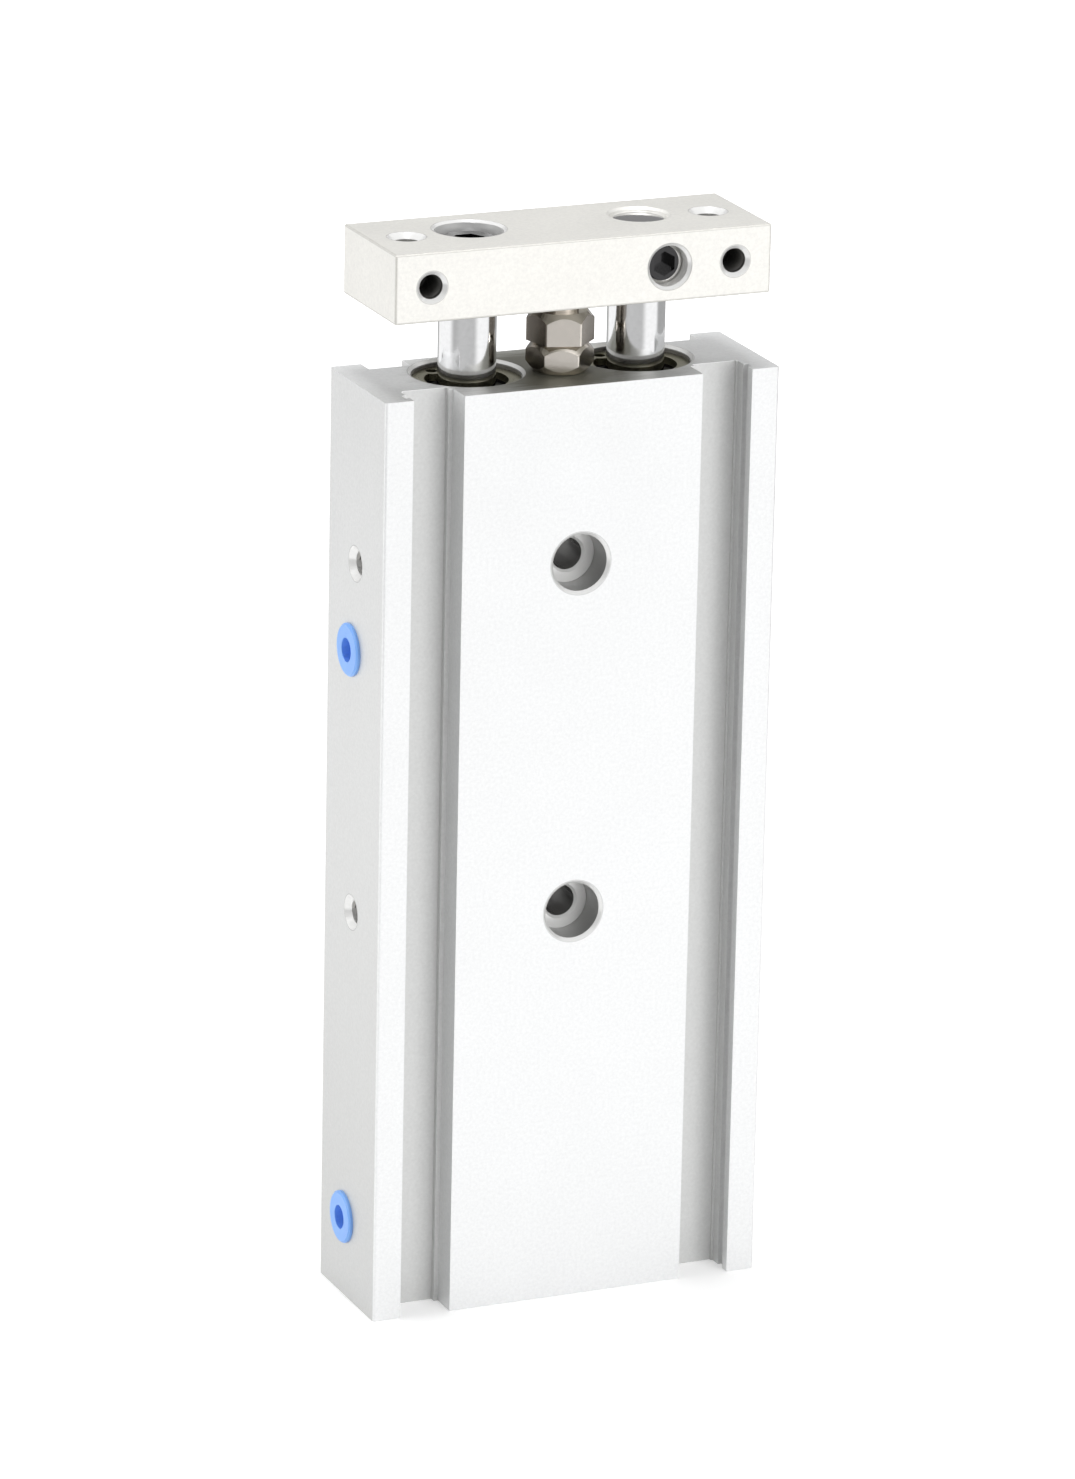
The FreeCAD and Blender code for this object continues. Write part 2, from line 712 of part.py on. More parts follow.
def piston_seal(label, x, y):
    """Seal ring in the piston's groove, a little narrower in the middle."""
    land_low = "Sizes.lower_spigot_length"
    land_top = "Sizes.piston_length - Sizes.upper_spigot_length"
    middle = f"({land_low} + {land_top}) / 2"
    low = f"{middle} - Sizes.piston_seal_width / 2 + Sizes.seated_gap"
    top = f"{middle} + Sizes.piston_seal_width / 2 - Sizes.seated_gap"
    inner = "Places.piston_radius - Sizes.piston_seal_depth + Sizes.seated_gap"
    outer = "Sizes.bore_radius - Sizes.running_gap"
    return turned_piece(label, [
        (inner, low),
        (outer, low),
        (f"{outer} - Sizes.piston_seal_depth / 4", middle),
        (outer, top),
        (inner, top),
    ], x, y, "Places.piston_low")


def magnet(label, x, y):
    """Ring magnet on the piston's upper spigot."""
    inner = "Sizes.upper_spigot_radius + Sizes.seated_gap"
    return turned_piece(label, [
        (inner, "0"),
        ("Sizes.magnet_radius", "0"),
        ("Sizes.magnet_radius", "Sizes.magnet_length"),
        (inner, "Sizes.magnet_length"),
    ], x, y, "Places.piston_top - Sizes.upper_spigot_length")


def end_plate():
    """Plate that joins the two rods, with its clamp, screw, stopper and mounting holes."""
    body = new_body("end_plate", z="Places.plate_low")
    outline = new_sketch(body, "outline", "XY")
    rectangle(outline, "Sizes.plate_width", "Sizes.plate_depth")
    block = pad(body, "block", outline, "Sizes.plate_thickness")
    edges = [f"Edge{index + 1}" for index in range(len(block.Shape.Edges))]
    fillet(body, "edges", block, edges, "Sizes.plate_edge")
    left_rod_station(body)
    right_rod_station(body)
    stopper_hole(body)
    for side in ("-", ""):
        plate_top_hole(body, side)
        plate_front_hole(body, side)
    set_screw_hole(body)
    return body


def left_rod_station(body):
    """Seat for the left rod below, and a counterbore for its screw above."""
    top = "Sizes.plate_thickness"
    web_low = "Sizes.rod_seat_depth"
    web_top = f"{web_low} + Sizes.screw_web"
    screw = "Sizes.cap_screw_radius + Sizes.seated_gap"
    head = "Sizes.cap_screw_head_radius + Sizes.head_room"
    sketch = new_sketch(body, "left_station_outline", "XZ",
                        ("-Sizes.rod_pitch / 2", "0", "-Sizes.rod_setback"))
    polygon(sketch, [
        ("0", "0"),
        ("Places.rod_seat_radius", "0"),
        ("Places.rod_seat_radius", web_low),
        (screw, web_low),
        (screw, web_top),
        (head, web_top),
        (head, f"{top} - Sizes.plate_hole_chamfer"),
        (f"{head} + Sizes.plate_hole_chamfer", top),
        ("0", top),
    ])
    turned_cut(body, "left_station", sketch)


def right_rod_station(body):
    """Plain hole that the right rod passes through, chamfered on top."""
    top = "Sizes.plate_thickness"
    sketch = new_sketch(body, "right_station_outline", "XZ",
                        ("Sizes.rod_pitch / 2", "0", "-Sizes.rod_setback"))
    polygon(sketch, [
        ("0", "0"),
        ("Places.rod_seat_radius", "0"),
        ("Places.rod_seat_radius", f"{top} - Sizes.plate_hole_chamfer"),
        ("Places.rod_seat_radius + Sizes.plate_hole_chamfer", top),
        ("0", top),
    ])
    turned_cut(body, "right_station", sketch)


def stopper_hole(body):
    """Blind tapped hole in the underside for the stopper bolt."""
    core = "Sizes.stopper_radius + Sizes.seated_gap"
    depth = "Sizes.stopper_reach + Sizes.stopper_gap"
    sketch = new_sketch(body, "stopper_hole_outline", "XZ", ("0", "0", "Sizes.stopper_setback"))
    polygon(sketch, [("0", "0"), (core, "0"), (core, depth), ("0", depth)])
    turned_cut(body, "stopper_hole", sketch)


def plate_top_hole(body, side):
    """Tapped hole right through the plate, chamfered at both ends."""
    top = "Sizes.plate_thickness"
    chamfer = "Sizes.plate_top_tap_chamfer"
    wide = f"Sizes.tapped_radius + {chamfer}"
    name = f"top_hole_{'left' if side else 'right'}"
    sketch = new_sketch(body, f"{name}_outline", "XZ", (f"{side}Sizes.plate_hole_pitch / 2", "0", "0"))
    polygon(sketch, [
        ("0", "0"),
        (wide, "0"),
        ("Sizes.tapped_radius", chamfer),
        ("Sizes.tapped_radius", f"{top} - {chamfer}"),
        (wide, top),
        ("0", top),
    ])
    turned_cut(body, name, sketch)


def plate_front_hole(body, side):
    """Blind tapped hole in the front face, halfway up the plate."""
    face = "-Sizes.plate_depth / 2"
    bottom = f"{face} + Sizes.plate_front_tap_depth"
    name = f"front_hole_{'left' if side else 'right'}"
    sketch = new_sketch(body, f"{name}_outline", "YZ",
                        ("0", "Sizes.plate_thickness / 2", f"{side}Sizes.plate_hole_pitch / 2"))
    polygon(sketch, [
        (face, "0"),
        (face, "Sizes.tapped_radius + Sizes.plate_front_tap_chamfer"),
        (f"{face} + Sizes.plate_front_tap_chamfer", "Sizes.tapped_radius"),
        (bottom, "Sizes.tapped_radius"),
        (f"{bottom} + Sizes.tapped_radius * tan(30 deg)", "0"),
    ])
    turned_cut(body, name, sketch, "H_Axis")


def set_screw_hole(body):
    """Tapped hole from the front face into the right rod's hole."""
    face = "-Sizes.plate_depth / 2"
    core = "Sizes.set_screw_radius + Sizes.seated_gap"
    sketch = new_sketch(body, "set_screw_outline", "YZ",
                        ("0", "Sizes.plate_thickness / 2", "Sizes.rod_pitch / 2"))
    polygon(sketch, [
        (face, "0"),
        (face, f"{core} + Sizes.set_screw_chamfer"),
        (f"{face} + Sizes.set_screw_chamfer", core),
        ("Sizes.rod_setback", core),
        ("Sizes.rod_setback", "0"),
    ])
    turned_cut(body, "set_screw_hole", sketch, "H_Axis")


def rod_screw():
    """Socket head cap screw that draws the left rod into its seat."""
    body = new_body("rod_screw", "-Sizes.rod_pitch / 2", "Sizes.rod_setback", "Places.screw_seat")
    shank = "Sizes.screw_web + Sizes.cap_screw_reach"
    height = "Sizes.cap_screw_head_height"
    head = "Sizes.cap_screw_head_radius"
    edge = "Sizes.cover_chamfer"
    sketch = new_sketch(body, "outline", "XZ")
    polygon(sketch, [
        ("0", f"-({shank})"),
        (f"Sizes.cap_screw_radius - {edge}", f"-({shank})"),
        ("Sizes.cap_screw_radius", f"{edge} - ({shank})"),
        ("Sizes.cap_screw_radius", "0"),
        (head, "0"),
        (head, f"{height} - {edge}"),
        (f"{head} - {edge}", height),
        ("0", height),
    ])
    turned(body, "turned", sketch)
    socket = new_sketch(body, "socket_outline", "XY", ("0", "0", height))
    hexagon(socket, "Sizes.cap_screw_socket_width")
    pocket(body, "socket", socket, "Sizes.cap_screw_socket_depth")
    return body


def set_screw():
    """Socket set screw whose tip bears on the right rod."""
    tip = "Sizes.rod_setback - Sizes.rod_radius - Sizes.seated_gap"
    body = new_body("rod_set_screw", "Sizes.rod_pitch / 2", tip, "Places.plate_middle")
    edge = "Sizes.set_screw_chamfer"
    radius = "Sizes.set_screw_radius"
    length = "Sizes.set_screw_length"
    sketch = new_sketch(body, "outline", "YZ")
    polygon(sketch, [
        (f"-({length})", "0"),
        (f"-({length})", f"{radius} - {edge}"),
        (f"{edge} - ({length})", radius),
        (f"-2 * {edge}", radius),
        ("0", f"{radius} - 2 * {edge}"),
        ("0", "0"),
    ])
    turned(body, "turned", sketch, "H_Axis")
    socket = new_sketch(body, "socket_outline", "XZ", ("0", "0", length))
    hexagon(socket, "Sizes.set_screw_socket_width", "30")
    pocket(body, "socket", socket, "Sizes.set_screw_socket_depth")
    return body


def crowned_hex(body, height, turn, both_ends):
    """A hexagonal prism whose corners are turned off in a cone, at the top or at both ends."""
    sketch = new_sketch(body, "hex", "XY")
    hexagon(sketch, "Sizes.hex_width", turn)
    prism = pad(body, "prism", sketch, height)
    fillet(body, "corners", prism, upright_edges(prism.Shape), "Sizes.hex_corner_round")
    far = "Sizes.hex_width"
    drop = f"({far} - Sizes.crown_radius) * tan(Sizes.crown_slope * 1 deg)"
    crown = new_sketch(body, "crown_outline", "XZ")
    polygon(crown, [
        ("Sizes.crown_radius", height),
        (far, height),
        (far, f"{height} - {drop}"),
    ])
    turned_cut(body, "crown", crown)
    if both_ends:
        root = new_sketch(body, "root_outline", "XZ")
        polygon(root, [
            ("Sizes.crown_radius", "0"),
            (far, drop),
            (far, "0"),
        ])
        turned_cut(body, "root", root)


def stopper_bolt():
    """Hexagon bolt in the plate's underside, with a pocket for its cushion pad."""
    body = new_body("stopper_bolt", "0", "-Sizes.stopper_setback", "Places.bolt_head_low")
    crowned_hex(body, "Sizes.head_height", "Sizes.head_turn", both_ends=True)
    top = "Places.plate_low + Sizes.stopper_reach - Places.bolt_head_low"
    edge = "Sizes.cover_chamfer"
    shank = new_sketch(body, "shank_outline", "XZ")
    polygon(shank, [
        ("0", "Sizes.head_height / 2"),
        ("Sizes.stopper_radius", "Sizes.head_height / 2"),
        ("Sizes.stopper_radius", f"{top} - {edge}"),
        (f"Sizes.stopper_radius - {edge}", top),
        ("0", top),
    ])
    turned(body, "shank", shank)
    seat = new_sketch(body, "pad_seat", "XY")
    circle(seat, "Sizes.pad_radius + Sizes.seated_gap")
    pocket(body, "pad_pocket", seat, "Sizes.pad_thickness - Sizes.pad_proud", towards_normal=True)
    return body


def stopper_pad():
    """Round cushion pad pressed into the bolt head, which meets the housing."""
    return turned_piece("stopper_pad", [
        ("0", "0"),
        ("Sizes.pad_radius", "0"),
        ("Sizes.pad_radius", "Sizes.pad_thickness"),
        ("0", "Sizes.pad_thickness"),
    ], "0", "-Sizes.stopper_setback", "Places.bolt_head_low - Sizes.pad_proud")


def lock_nut():
    """Hexagon nut on the stopper bolt, run down on the bolt's head."""
    body = new_body("stopper_lock_nut", "0", "-Sizes.stopper_setback", "Places.nut_low")
    crowned_hex(body, "Sizes.nut_height", "Sizes.nut_turn", both_ends=False)
    hole = new_sketch(body, "thread_outline", "XY")
    circle(hole, "Sizes.stopper_radius + Sizes.seated_gap")
    pocket(body, "thread", hole, "Sizes.nut_height", towards_normal=True)
    return body


def port_cap(label, level):
    """Soft dust cap in a left-hand port: a rounded flange, a stem and a hollow middle."""
    body = new_body(label, "-Sizes.housing_width / 2", "Sizes.rod_setback", f"Places.{level}_port")
    stem = "Sizes.port_radius - Sizes.seated_gap"
    flange = "Sizes.cap_flange_thickness"
    sketch = new_sketch(body, "outline", "XZ")
    polygon(sketch, [
        (f"Sizes.cap_recess_depth - {flange}", "0"),
        (f"Sizes.cap_recess_depth - {flange}", "Sizes.cap_recess_radius"),
        (f"-{flange}", "Sizes.cap_recess_radius"),
        (f"-{flange}", "Sizes.cap_flange_radius - Sizes.cap_flange_round"),
        (f"Sizes.cap_flange_round - {flange}", "Sizes.cap_flange_radius"),
        ("0", "Sizes.cap_flange_radius"),
        ("0", stem),
        ("Sizes.cap_stem_length", stem),
        ("Sizes.cap_stem_length", "0"),
    ])
    turned(body, "turned", sketch, "H_Axis")
    return body


def port_plug(label, level):
    """Socket screw plug, sunk flush into a right-hand port."""
    body = new_body(label, "Sizes.housing_width / 2 - Sizes.plug_inset", "Sizes.rod_setback",
                    f"Places.{level}_port")
    radius = "Sizes.port_radius - Sizes.seated_gap"
    edge = "Sizes.port_chamfer"
    sketch = new_sketch(body, "outline", "XZ")
    polygon(sketch, [
        ("-Sizes.plug_length", "0"),
        ("-Sizes.plug_length", f"{radius} - {edge}"),
        (f"{edge} - Sizes.plug_length", radius),
        ("0", radius),
        ("0", "0"),
    ])
    turned(body, "turned", sketch, "H_Axis")
    socket = new_sketch(body, "socket_outline", "YZ")
    hexagon(socket, "Sizes.plug_socket_width")
    pocket(body, "socket", socket, "Sizes.plug_socket_depth")
    return body


def lane(side):
    """Everything that repeats in each of the two bores."""
    sign = "-" if side == "left" else ""
    x = f"{sign}Sizes.rod_pitch / 2"
    y = "Sizes.rod_setback"
    top = f"Places.{side}_rod_top"
    rod_o_ring = ("Places.rod_cover_top - Sizes.seal_inset - Sizes.seal_length"
                  " - Sizes.o_ring_inset")
    head_o_ring = "Places.head_cover_low + Sizes.head_cover_length / 2"
    return [
        rod_cover(f"rod_cover_{side}", x, y),
        rod_seal(f"rod_seal_{side}", x, y),
        o_ring(f"rod_cover_o_ring_{side}", x, y, rod_o_ring),
        retaining_ring(f"rod_end_ring_{side}", x, y, "Places.rod_ring_low"),
        bumper(f"rod_end_bumper_{side}", x, y, "Places.rod_bumper_low"),
        head_cover(f"head_cover_{side}", x, y),
        o_ring(f"head_cover_o_ring_{side}", x, y, head_o_ring),
        retaining_ring(f"head_end_ring_{side}", x, y, "Sizes.head_recess"),
        bumper(f"head_end_bumper_{side}", x, y, "Places.head_cover_top"),
        piston_rod(f"piston_rod_{side}", x, y, top, tapped=(side == "left")),
        piston(f"piston_{side}", x, y),
        piston_seal(f"piston_seal_{side}", x, y),
        magnet(f"piston_magnet_{side}", x, y),
    ]


pieces = [housing(), end_plate(), rod_screw(), set_screw(), stopper_bolt(), stopper_pad(), lock_nut()]
for side in ("left", "right"):
    pieces += lane(side)
for level in ("rod", "head"):
    pieces.append(port_cap(f"port_cap_{level}_end", level))
    pieces.append(port_plug(f"port_plug_{level}_end", level))

doc.recompute()
for thing in doc.Objects:
    if "Invalid" in thing.State or "Error" in thing.State:
        raise RuntimeError(f"{thing.Label} did not build: {thing.State}")
for piece in pieces:
    if piece.Shape.isNull() or not piece.Shape.isValid() or len(piece.Shape.Solids) != 1:
        raise RuntimeError(f"{piece.Label} is not one valid solid")

os.makedirs("parts", exist_ok=True)
for piece in pieces:
    piece.Shape.exportStep(f"parts/{piece.Label}.step")
print(len(pieces), "pieces, housing", round(size("Places.housing_top"), 2),
      "mm long, overall", round(size("Places.plate_top"), 2), "mm")
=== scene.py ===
"""Guided pneumatic cylinder: finishes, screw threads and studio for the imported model."""
import json
import math
from collections import namedtuple
import bpy
from bpy.props import FloatProperty, FloatVectorProperty, IntProperty, PointerProperty
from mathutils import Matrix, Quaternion, Vector


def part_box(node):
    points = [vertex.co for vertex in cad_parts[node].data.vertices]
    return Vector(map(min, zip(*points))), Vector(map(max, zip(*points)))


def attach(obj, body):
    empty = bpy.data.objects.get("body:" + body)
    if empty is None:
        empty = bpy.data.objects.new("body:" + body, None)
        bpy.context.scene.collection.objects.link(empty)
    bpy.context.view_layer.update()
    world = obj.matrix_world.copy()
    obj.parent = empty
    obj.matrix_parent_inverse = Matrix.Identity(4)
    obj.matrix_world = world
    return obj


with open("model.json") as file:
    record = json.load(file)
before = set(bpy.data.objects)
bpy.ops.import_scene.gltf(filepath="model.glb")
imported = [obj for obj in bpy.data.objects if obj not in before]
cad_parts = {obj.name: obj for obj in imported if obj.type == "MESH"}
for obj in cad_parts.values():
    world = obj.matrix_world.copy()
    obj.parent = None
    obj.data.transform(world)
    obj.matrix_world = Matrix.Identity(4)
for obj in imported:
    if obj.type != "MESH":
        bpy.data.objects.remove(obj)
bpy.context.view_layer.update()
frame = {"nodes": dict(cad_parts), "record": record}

bl_info = {
    "name": "Guided Cylinder Dresser",
    "version": (1, 0, 0),
    "blender": (4, 5, 0),
    "location": "View3D > Sidebar > Cylinder",
    "description": "Finishes, threads and studio for a guided pneumatic cylinder",
    "category": "Object",
}

NODES = frame["nodes"]
RECORD = frame["record"]
MM = 0.001
METRES_TO_MM = 1000.0
WHITE = (1.0, 1.0, 1.0, 1.0)

# The colour sockets of a Mix node
MIX_FIRST = 6
MIX_SECOND = 7
MIX_RESULT = 2

# Holes, in millimetres: the radius where the bare rim ends, and where the painted shade of the middle
# starts
Hole = namedtuple("Hole", "point axis rim dark")
THROUGH_HOLE = (4.42, 2.25)
SIDE_THREAD = (2.47, 0.0)
PORT = (2.47, 2.12)
BORE = (8.02, 7.6)
PLATE_TOP_THREAD = (2.67, 1.85)
PLATE_FRONT_THREAD = (2.22, 1.70)
ROD_SCREW_HOLE = (5.12, 0.0)
SET_SCREW_HOLE = (3.22, 0.0)
# A thin dark line round each rim, painted as the shade at the edge of the chamfer
OUTLINE_WIDTH = 0.12
OUTLINE_SHARE = 0.35
MASK_EDGE = 0.02

# Counterbores of the front holes, in millimetres: their walls' radii, and where the chamfer starts
COUNTERBORE_WALL = (4.42, 3.95)
CHAMFER_FOOT = (9.55, 9.60)

# Satin surfaces: how far the patterns are stretched, and how the grain and the drawn lines look
HOUSING_LINES = (14.0, 14.0, 0.06)
PLATE_LINES = (0.08, 14.0, 14.0)
SATIN_CLOUDS = 0.09
SATIN_DARKEST = 0.965
SPECK_RANGE = (0.25, 0.75)
SPECK_SHARE = 0.18
SPECK_COLOUR = (0.35, 0.35, 0.36)
SMOOTHER = 0.04
ROUGHER = 0.05
# Painted shade: the satin darkens towards these shares of its colour
PAINTED_SHADE_TINT = (0.21, 0.205, 0.17)
RIM_ROUGHNESS = 0.24
RIM_METAL = 0.35
RIM_BUMP = 0.12
# Painted shade on the counterbore walls, as a share of the machined colour
WALL_SHADE = 0.42
WALL_ROUGHNESS = 0.42

# Painted shade on the housing, in millimetres. A pair of places is where a mask starts and where it
# ends
# The grooves' painted shade: where their walls are, and how deep it reaches
GROOVE_INNER_WALL = (17.45, 17.55)
GROOVE_OUTER_WALL = (25.6, 25.7)
GROOVE_DEPTH = (-9.8, -5.2)
GROOVE_SHADE = 0.26
GROOVE_END_SKIN = 0.05
# The painted shadow on the end face round the stopper: its middle, streaks, ragged edge and reach
SHADOW_MIDDLE = (-1.5, -1.3)
SHADOW_STREAKS = (0.25, 1.6, 1.0)
SHADOW_RAGGED = 3.0
SHADOW_REACH = (8.0, 20.5)
# Painted shade on the left side, darker towards its lower end
LEFT_SHADE_SKIN = (0.02, 0.05)
LEFT_SHADE_LEVELS = (0.34, 0.18)
LEFT_SHADE_HEIGHTS = (10.0, 110.0)

# Painted shade on the end plate, in millimetres from its faces
FACE_SKIN = 0.01
PLAIN_SKIN = 0.02
EDGE_SHADE_REACH = (0.32, 0.22)
EDGE_SHADE = 0.30
UNDERSIDE_SHADE = 0.6
TOP_SHADE = 0.11

# Reliefs too fine to model: the depth in metres, and how strongly it shows
GRAIN_RELIEF = (0.02 * MM, 0.5)
DRAWN_RELIEF = (0.006 * MM, 0.4)
RING_RELIEF = (0.004 * MM, 0.3)
PIT_RELIEF = (0.02 * MM, 0.35)
MOULDED_RELIEF = (0.015 * MM, 0.3)

# How far the shine of a surface wanders, as shares of its roughness
TURNED_SHINE = (0.8, 1.3)
PLATED_SHINE = (0.75, 1.35)
MOULDED_SHINE = (0.85, 1.15)

# Turned, plated and moulded pieces. Grain, pits and clouds are counted in each millimetre
RING_STRETCH = 0.15
CUT_END_SHADE = 0.42
ROD_MOTTLE = (1.6, 0.88)
TURNED_MOTTLE = (0.35, 0.94)
# Where the hexagons' faces that look to the rods start and end, for their painted shade
FACES_THE_RODS = (0.60, 0.72)
PLATING_PITS = 5.0
PLATING_CLOUDS = 0.8
MOULDED_GRAIN = 6.0
MOULDED_CLOUDS = 0.6
MOULDED_DARKEST = 0.93
SKIN_SCATTER = (0.4 * MM, 0.6 * MM, 1.0 * MM)
# The covers in the bore mouths, painted nearly black as shade
COVER_ALLOY_PAINTED_DARK = (0.035, 0.033, 0.028)
PISTON_ALLOY = (0.80, 0.80, 0.80)
SPRING_STEEL = (0.27, 0.255, 0.17)
SEAL_RUBBER = (0.018, 0.018, 0.018)
URETHANE = (0.10, 0.09, 0.075)
MAGNET = (0.12, 0.12, 0.125)
# A painted highlight round the black set screw: its colour, its middle off the screw's axis, and the
# radius of the black inside it
HIGHLIGHT_STEEL = (0.62, 0.61, 0.59)
SET_SCREW_HIGHLIGHT_MIDDLE = (-0.35, 0.0, 0.15)
SET_SCREW_BLACK_RADIUS = 2.45
OIL_COAT = 0.8
OIL_COAT_ROUGHNESS = 0.06
# The threads in the side holes are a painted lighter copy of the painted dark thread colour
SIDE_THREAD_PAINTED_LIGHT = 2.2

# Screw threads, as shares of the pitch and in metres
RIDGE_HALF = 0.42
SUNK_IN_WALL = 0.02 * MM
STEPS_IN_A_TURN = 40
SAME_POINT = 0.0005 * MM
SMOOTH_ANGLE = 40

# The studio, in metres
FLOOR_SIZE = 8.0
FLOOR_GAP = 0.02 * MM
FLOOR_GLOW = (0.28, 0.85)
FLOOR_GLOW_REACH = (0.10, 0.70)
SCREEN_RADIUS = 0.34
SCREEN_HEIGHT = 0.30
SCREEN_MIDDLE = 0.151
SCREEN_SIDES = 96
SCREEN_DIMMER = (0.70, 1.0)
SCREEN_DIMMER_HEIGHTS = (-0.131, -0.115)
LAMP_AIM = (0.0, 0.0, 0.08)

# The camera: its place in millimetres, the way that it looks, its roll in degrees, and the turn
# in degrees that brings the side of the screen at the camera to 0
CAMERA_PLACE = (-404.0, -923.7, 403.05)
CAMERA_AIM = (0.38024, 0.87271, -0.30627)
CAMERA_ROLL = 1.179
FACING_CAMERA = 113.6


# Sizes and colours that a user would change

class AnodisedFinish(bpy.types.PropertyGroup):
    """The satin housing and end plate, and the bare metal in their holes"""
    colour: FloatVectorProperty(
        name="Colour", description="Colour of the anodised aluminium",
        subtype="COLOR", size=3, min=0.0, max=1.0, default=(0.850, 0.856, 0.858))
    plate: FloatVectorProperty(
        name="Plate colour", description="Colour of the end plate, a little lighter",
        subtype="COLOR", size=3, min=0.0, max=1.0, default=(0.875, 0.864, 0.826))
    metal: FloatProperty(
        name="Metal", description="Share of bare metal under the oxide layer",
        subtype="FACTOR", min=0.0, max=1.0, default=0.72)
    roughness: FloatProperty(
        name="Roughness", description="Mean roughness of the satin surface",
        subtype="FACTOR", min=0.0, max=1.0, default=0.48)
    grain: FloatProperty(
        name="Grain", description="Grains in each millimetre of the satin surface",
        min=0.1, max=40.0, default=2.2)
    machined: FloatVectorProperty(
        name="Machined metal", description="Colour of the bare metal in holes and chamfers",
        subtype="COLOR", size=3, min=0.0, max=1.0, default=(0.86, 0.86, 0.85))
    # Painted shade: the dark colour deep in the holes, round their rims and on the tapped threads
    thread: FloatVectorProperty(
        name="Thread", description="Colour of the dull, oily metal deep in a tapped hole",
        subtype="COLOR", size=3, min=0.0, max=1.0, default=(0.15, 0.147, 0.14))


class RodFinish(bpy.types.PropertyGroup):
    """The ground and chromed piston rods"""
    colour: FloatVectorProperty(
        name="Colour", description="Colour of the hard chrome",
        subtype="COLOR", size=3, min=0.0, max=1.0, default=(0.975, 0.978, 0.985))
    roughness: FloatProperty(
        name="Roughness", description="Roughness of the ground chrome",
        subtype="FACTOR", min=0.0, max=1.0, default=0.08)


class FastenerFinish(bpy.types.PropertyGroup):
    """The stopper bolt, its nut, the screws and the threads in the tapped holes"""
    nickel: FloatVectorProperty(
        name="Nickel", description="Colour of the nickel-plated stopper bolt and nut",
        subtype="COLOR", size=3, min=0.0, max=1.0, default=(0.96, 0.90, 0.825))
    # Painted shade on the hexagons' faces that look to the rods
    side_shade: FloatVectorProperty(
        name="Side shade", description="Colour of the hexagons' faces that look to the rods",
        subtype="COLOR", size=3, min=0.0, max=1.0, default=(0.25, 0.222, 0.19))
    black: FloatVectorProperty(
        name="Black oxide", description="Colour of the blackened screws",
        subtype="COLOR", size=3, min=0.0, max=1.0, default=(0.035, 0.034, 0.036))
    thread_pitch: FloatProperty(
        name="Thread pitch", description="Pitch of the screw threads in the tapped holes",
        subtype="DISTANCE", unit="LENGTH", default=0.7 * MM, min=0.2 * MM, max=2.0 * MM)
    thread_height: FloatProperty(
        name="Thread height", description="How far a thread stands into its hole",
        subtype="DISTANCE", unit="LENGTH", default=0.22 * MM, min=0.05 * MM, max=1.0 * MM)
    thread_turns: IntProperty(
        name="Thread turns", description="Turns of thread that are modelled in each hole",
        default=6, min=1, max=20)


class CapFinish(bpy.types.PropertyGroup):
    """The dust caps in the ports"""
    colour: FloatVectorProperty(
        name="Colour", description="Colour of the soft dust caps",
        subtype="COLOR", size=3, min=0.0, max=1.0, default=(0.22, 0.46, 1.0))
    roughness: FloatProperty(
        name="Roughness", description="Roughness of the moulded caps",
        subtype="FACTOR", min=0.0, max=1.0, default=0.34)


class StudioSettings(bpy.types.PropertyGroup):
    """The light, the floor, the reflection screen and the camera's lens"""
    sky: FloatProperty(
        name="Sky", description="Strength of the even light from all round",
        min=0.0, max=3.0, default=0.40)
    key_power: FloatProperty(
        name="Key lamp", description="Power of the large lamp in front, on the right",
        subtype="POWER", unit="POWER", min=0.0, max=500.0, default=16.5)
    top_power: FloatProperty(
        name="Top lamp", description="Power of the lamp overhead",
        subtype="POWER", unit="POWER", min=0.0, max=500.0, default=10.0)
    side_power: FloatProperty(
        name="Side lamp", description="Power of the lamp on the left",
        subtype="POWER", unit="POWER", min=0.0, max=500.0, default=12.0)
    floor_colour: FloatVectorProperty(
        name="Floor", description="Colour of the floor",
        subtype="COLOR", size=3, min=0.0, max=1.0, default=(0.9, 0.9, 0.9))
    grey: FloatProperty(
        name="Camera side", description="Level of the reflection screen around the camera",
        min=0.0, max=1.0, default=0.56)
    back: FloatProperty(
        name="Back", description="Level of the reflection screen behind the cylinder",
        min=0.0, max=1.0, default=0.40)
    lens: FloatProperty(
        name="Lens", description="Focal length of the camera, in millimetres",
        subtype="DISTANCE_CAMERA", min=20.0, max=400.0, default=186.6)


# Steps of a material

def fresh_material(name):
    """A new material with one principled shader, and coordinates in millimetres."""
    material = bpy.data.materials.new(name)
    material.use_nodes = True
    tree = material.node_tree
    place = tree.nodes.new("ShaderNodeTexCoord")
    scaled = tree.nodes.new("ShaderNodeVectorMath")
    scaled.operation = "SCALE"
    scaled.inputs["Scale"].default_value = METRES_TO_MM
    tree.links.new(place.outputs["Object"], scaled.inputs[0])
    return material, tree, tree.nodes["Principled BSDF"], scaled.outputs["Vector"]


def stretched(tree, vector, scale):
    """The pattern's coordinates, stretched along each axis by its own factor."""
    mapping = tree.nodes.new("ShaderNodeMapping")
    mapping.inputs["Scale"].default_value = scale
    tree.links.new(vector, mapping.inputs["Vector"])
    return mapping.outputs["Vector"]


def noise(tree, vector, scale, detail=2.0, roughness=0.5):
    """A cloudy pattern between 0 and 1."""
    node = tree.nodes.new("ShaderNodeTexNoise")
    node.inputs["Scale"].default_value = scale
    node.inputs["Detail"].default_value = detail
    node.inputs["Roughness"].default_value = roughness
    tree.links.new(vector, node.inputs["Vector"])
    return node.outputs["Fac"]


